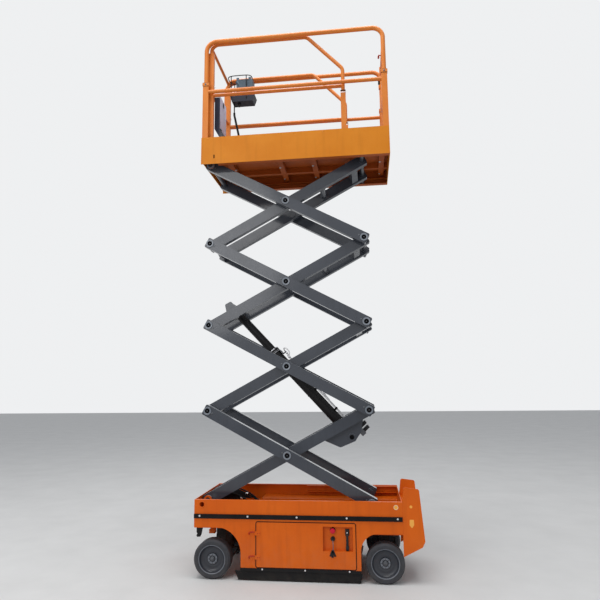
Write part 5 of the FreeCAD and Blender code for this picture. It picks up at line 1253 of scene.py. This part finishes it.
def make_gate_trim():
    """Round hinges, the latch on the post, and a bent lever with its grip."""
    low, high = corners("entry_gate")
    hinge = JOINT_AT["gate_swing"]
    mesh = bmesh.new()
    for level in (high.z - 0.085, low.z + 0.060):
        ends = [(hinge.x, hinge.y, level + way * HINGE_HALF) for way in (-1.0, 1.0)]
        add_rod(mesh, *ends, 0.0125, soft=0.002)
    add_block(mesh, (-0.768, 0.205, high.z - 0.150), (-0.740, 0.262, high.z - 0.108), 0.003)
    finish_piece("gate_fittings", mesh, BLACK_PAINT, "gate")
    mesh = bmesh.new()
    add_tube(mesh, [(x, y, high.z + drop) for x, y, drop in GATE_LEVER], 0.0045)
    add_rod(mesh, (-0.716, 0.196, high.z - 0.089), (-0.716, 0.160, high.z - 0.087), 0.0085, soft=0.002)
    finish_piece("gate_handle", mesh, RED_ORANGE, "gate")


make_gate_trim()
print("gate hinge at", [round(value, 3) for value in JOINT_AT["gate_swing"]])

# %% Lock knobs and their chains
LOCK_KNOB = ((0.0, 0.0), (0.0, 0.0085), (0.010, 0.0080), (0.016, 0.0125), (0.024, 0.0125), (0.028, 0.0080),
             (0.029, 0.0))
KNOB_AT = (0.868, 0.335, 4.479)
CHAIN_LINK = ((-0.0010, 0.0042), (0.0, 0.0032), (0.0010, 0.0042), (0.0, 0.0052))
CHAIN_PITCH = 0.0064
CHAIN_SAG = 0.030
CHAIN_STEPS = 500


def chain_line(share, out):
    """A place on a keeper chain, which hangs from its knob to the rail's foot."""
    sag = CHAIN_SAG * math.sin(math.pi * share)
    return Vector((0.868 - 0.040 * share, out * (0.318 - 0.002 * share), 4.468 - 0.120 * share - sag))


def add_chain(mesh, out):
    """Links set every pitch along the chain's line, each a quarter turn from the last."""
    last, turned = chain_line(0.0, out), False
    across = Vector((0.0, 1.0, 0.0))
    for step in range(1, CHAIN_STEPS + 1):
        place = chain_line(step / CHAIN_STEPS, out)
        if (place - last).length >= CHAIN_PITCH:
            along = (place - last).normalized()
            add_turned(mesh, CHAIN_LINK, place, along.cross(across) if turned else across, 12)
            last, turned = place, not turned


def make_lock_knobs():
    """The spring knobs that hold the roll-out deck, with their keeper chains."""
    x, y, z = KNOB_AT
    knobs, chains = bmesh.new(), bmesh.new()
    for side, out in SIDES:
        add_turned(knobs, LOCK_KNOB, (x, out * y, z), (0, -out, 0), 24)
        add_chain(chains, out)
    finish_piece("lock_knobs", knobs, SWITCH_RED, "extension")
    finish_piece("lock_chains", chains, PALE_STEEL, "extension")


make_lock_knobs()
print("lock knobs:", len(SIDES))

# %% [markdown]
# ## Platform controls
# The control box has a blank top plate with buttons, a red stop button, a rubber boot round the joystick,
# a wire loop that guards it, and a gland where the cable leaves. The folds of the boot are a zigzag
# profile written by a loop, and the guard is one closed tube with four legs. The manual box beside it has
# a paler lid with its latch.

# %% Control box plates and buttons
CONTROL_PLATES = (((0.590, -0.292, 4.7272), (0.716, -0.190, 4.7292)),
                  ((0.735, -0.294, 4.5432), (0.806, -0.188, 4.5450)))
BUTTONS = (((0.612, -0.270, 4.7288), 0.0075), ((0.612, -0.241, 4.7288), 0.0075),
           ((0.612, -0.212, 4.7288), 0.0075), ((0.750, -0.210, 4.5446), 0.006))
BOX_STOP_AT = (0.680, -0.285, 4.7285)
BOX_STOP = ((0.0, 0.0), (0.0, 0.012), (0.006, 0.012), (0.010, 0.0165), (0.018, 0.0165), (0.022, 0.012),
            (0.023, 0.0))


def make_box_top():
    """Blank plates, the row of buttons and the red stop button."""
    mesh = bmesh.new()
    for low, high in CONTROL_PLATES:
        add_block(mesh, low, high, 0.0006)
    finish_piece("control_plates", mesh, BOX_DARK, "extension")
    mesh = bmesh.new()
    for place, radius in BUTTONS:
        button = ((0.0, 0.0), (0.0, radius), (0.0035, radius), (0.0050, radius * 0.8), (0.0052, 0.0))
        add_turned(mesh, button, place, (0, 0, 1), 24)
    finish_piece("control_buttons", mesh, SWITCH_BLACK, "extension")
    mesh = bmesh.new()
    add_turned(mesh, BOX_STOP, BOX_STOP_AT, (0, 0, 1), 32)
    finish_piece("box_stop_button", mesh, SWITCH_RED, "extension")


make_box_top()
print("buttons on the control box:", len(BUTTONS))

# %% Joystick boot and wire guard
STICK_FOOT = Vector((0.699, -0.241, 4.6426))
STICK_LEAN = Vector((0.064, 0.0, 0.092)).normalized()
BOOT_FOLDS = 5
FOLD_PITCH = 0.007
GUARD_LEVEL = 4.756
GUARD_WIRE = 0.0048
GUARD_LOOP = ((0.596, -0.318), (0.700, -0.322), (0.835, -0.318), (0.845, -0.241), (0.835, -0.164),
              (0.700, -0.160), (0.596, -0.164), (0.588, -0.241))
GUARD_LEGS_X = (0.640, 0.800)
GUARD_LEGS_Y = ((-0.3195, -0.303), (-0.1625, -0.179))


def make_joystick_boot():
    """A rubber boot whose folds grow narrower up the stick."""
    folds = [(-0.006, 0.0)]
    for index in range(BOOT_FOLDS):
        level, width = FOLD_PITCH * index, 0.033 - 0.0042 * index
        folds += [(level, width), (level + FOLD_PITCH / 2, width - 0.0045)]
    folds.append((0.036, 0.0))
    mesh = bmesh.new()
    add_turned(mesh, folds, STICK_FOOT + STICK_LEAN * 0.014, STICK_LEAN, 32)
    finish_piece("joystick_boot", mesh, BLACK_RUBBER, "extension")


def make_control_guard():
    """A closed wire loop over the joystick and its four legs, which bend in to the tray's sides."""
    mesh = bmesh.new()
    add_tube(mesh, [(x, y, GUARD_LEVEL) for x, y in GUARD_LOOP], GUARD_WIRE, closed=True)
    for x in GUARD_LEGS_X:
        for y, foot in GUARD_LEGS_Y:
            leg = ((x, y, GUARD_LEVEL), (x, y, 4.700), (x, foot, 4.560), (x, foot, 4.510))
            add_tube(mesh, leg, GUARD_WIRE)
    finish_piece("control_guard", mesh, BLACK_PAINT, "extension")


make_joystick_boot()
make_control_guard()
print("folds in the boot:", BOOT_FOLDS)

# %% Cable gland, tray screws and manual box
CABLE_GLAND_AT = (0.730, -0.241, 4.4782)
CABLE_GLAND = ((0.0, 0.0), (0.0, 0.0180), (0.010, 0.0180), (0.012, 0.0150), (0.030, 0.0125), (0.034, 0.0))
TRAY_SCREWS_X = (0.566, 0.805)
TRAY_SCREWS_Y = (-0.292, -0.190)
LID_HINGES_Y = (0.045, 0.195)
LID_HINGE_HALF = 0.016


def make_box_fittings():
    """The gland under the tray and a screw at each of the tray's corners."""
    mesh = bmesh.new()
    add_turned(mesh, CABLE_GLAND, CABLE_GLAND_AT, (0, 0, -1), 24)
    for x in TRAY_SCREWS_X:
        for y in TRAY_SCREWS_Y:
            add_bolt(mesh, (x, y, TRAY_TOP), (0, 0, 1), 0.0045)
    finish_piece("box_fittings", mesh, SWITCH_BLACK, "extension")


def make_manual_box_trim():
    """The pale lid on the box's rear face, its latch and its two hinges."""
    low, high = corners("manual_box")
    mesh = bmesh.new()
    add_block(mesh, (low.x - 0.0012, 0.006, low.z + 0.088), (low.x + 0.0005, 0.234, high.z - 0.006), 0.0005)
    finish_piece("manual_box_lid", mesh, LID_GREY, "extension")
    mesh = bmesh.new()
    add_block(mesh, (low.x - 0.0062, 0.104, high.z - 0.070), (low.x - 0.0008, 0.136, high.z - 0.026), 0.0015)
    for y in LID_HINGES_Y:
        ends = [(low.x - 0.003, y + way * LID_HINGE_HALF, low.z + 0.086) for way in (-1.0, 1.0)]
        add_rod(mesh, *ends, 0.0045, soft=0.001)
    finish_piece("manual_box_latch", mesh, SWITCH_BLACK, "extension")


make_box_fittings()
make_manual_box_trim()
print("tray screws:", len(TRAY_SCREWS_X) * len(TRAY_SCREWS_Y))

# %% [markdown]
# ## Floor, backdrop and light
# The machine stands in a plain studio: a wide matt floor, soft light from all round, a large lamp above
# and a weaker one in front. A picture of a real sky would give livelier reflections, but a mixed world
# needs no file. It lights the scene with one colour, while the camera and mirrors see a brighter grey.

# %% Floor
FLOOR_SIZE = 60.0


def make_floor():
    """A plane at the ground, with a faint cloudy grey."""
    bpy.ops.mesh.primitive_plane_add(size=FLOOR_SIZE, location=(0.0, 0.0, 0.0))
    floor = bpy.context.object
    floor.name = "floor"
    material, tree, shader, where = new_material("floor_grey")
    clouds = band(tree, noise(tree, where, 2.0), 0.3, 0.7)
    tint = blend_colour(tree, clouds, srgb(205, 204, 202), srgb(212, 211, 209))
    tree.links.new(tint, shader.inputs["Base Color"])
    shader.inputs["Roughness"].default_value = 0.85
    floor.data.materials.append(material)


make_floor()
print("floor:", FLOOR_SIZE, "m wide")

# %% Backdrop and light
SKY_LIGHT = ((0.90, 0.94, 1.0, 1.0), 0.52)
BACKDROP = ((0.86, 0.87, 0.88, 1.0), 1.0)
LAMP_AIM = (0.0, 0.0, 2.0)
LAMPS = (("sky", (0.5, 1.5, 9.5), 6.0, 520.0), ("front_fill", (3.0, 6.5, 4.5), 4.0, 120.0))


def background(tree, colour, strength):
    """One even light from all round."""
    node = tree.nodes.new("ShaderNodeBackground")
    node.inputs["Color"].default_value = colour
    node.inputs["Strength"].default_value = strength
    return node.outputs["Background"]


def either(tree, first, second):
    """1 if one of two ray kinds is met, otherwise 0."""
    node = tree.nodes.new("ShaderNodeMath")
    node.operation = "ADD"
    node.use_clamp = True
    tree.links.new(first, node.inputs[0])
    tree.links.new(second, node.inputs[1])
    return node.outputs["Value"]


def make_world():
    """Lights the scene with one colour and shows the camera and mirrors another."""
    world = bpy.data.worlds.new("studio")
    world.use_nodes = True
    tree = world.node_tree
    tree.nodes.clear()
    ray = tree.nodes.new("ShaderNodeLightPath").outputs
    seen = either(tree, ray["Is Camera Ray"], ray["Is Glossy Ray"])
    seen = either(tree, seen, ray["Is Transmission Ray"])
    mix = tree.nodes.new("ShaderNodeMixShader")
    tree.links.new(seen, mix.inputs["Fac"])
    tree.links.new(background(tree, *SKY_LIGHT), mix.inputs[1])
    tree.links.new(background(tree, *BACKDROP), mix.inputs[2])
    out = tree.nodes.new("ShaderNodeOutputWorld")
    tree.links.new(mix.outputs["Shader"], out.inputs["Surface"])
    SCENE.world = world
    SCENE.view_settings.view_transform = "Standard"


def make_lamp(name, place, size, watts):
    """A round lamp that looks at the middle of the machine."""
    data = bpy.data.lights.new(name, "AREA")
    data.shape = "DISK"
    data.size = size
    data.energy = watts
    lamp = bpy.data.objects.new(name, data)
    turn = (Vector(LAMP_AIM) - Vector(place)).to_track_quat("-Z", "Y")
    lamp.matrix_world = Matrix.Translation(place) @ turn.to_matrix().to_4x4()
    SCENE.collection.objects.link(lamp)


make_world()
for lamp in LAMPS:
    make_lamp(*lamp)
print("lamps:", len(LAMPS))
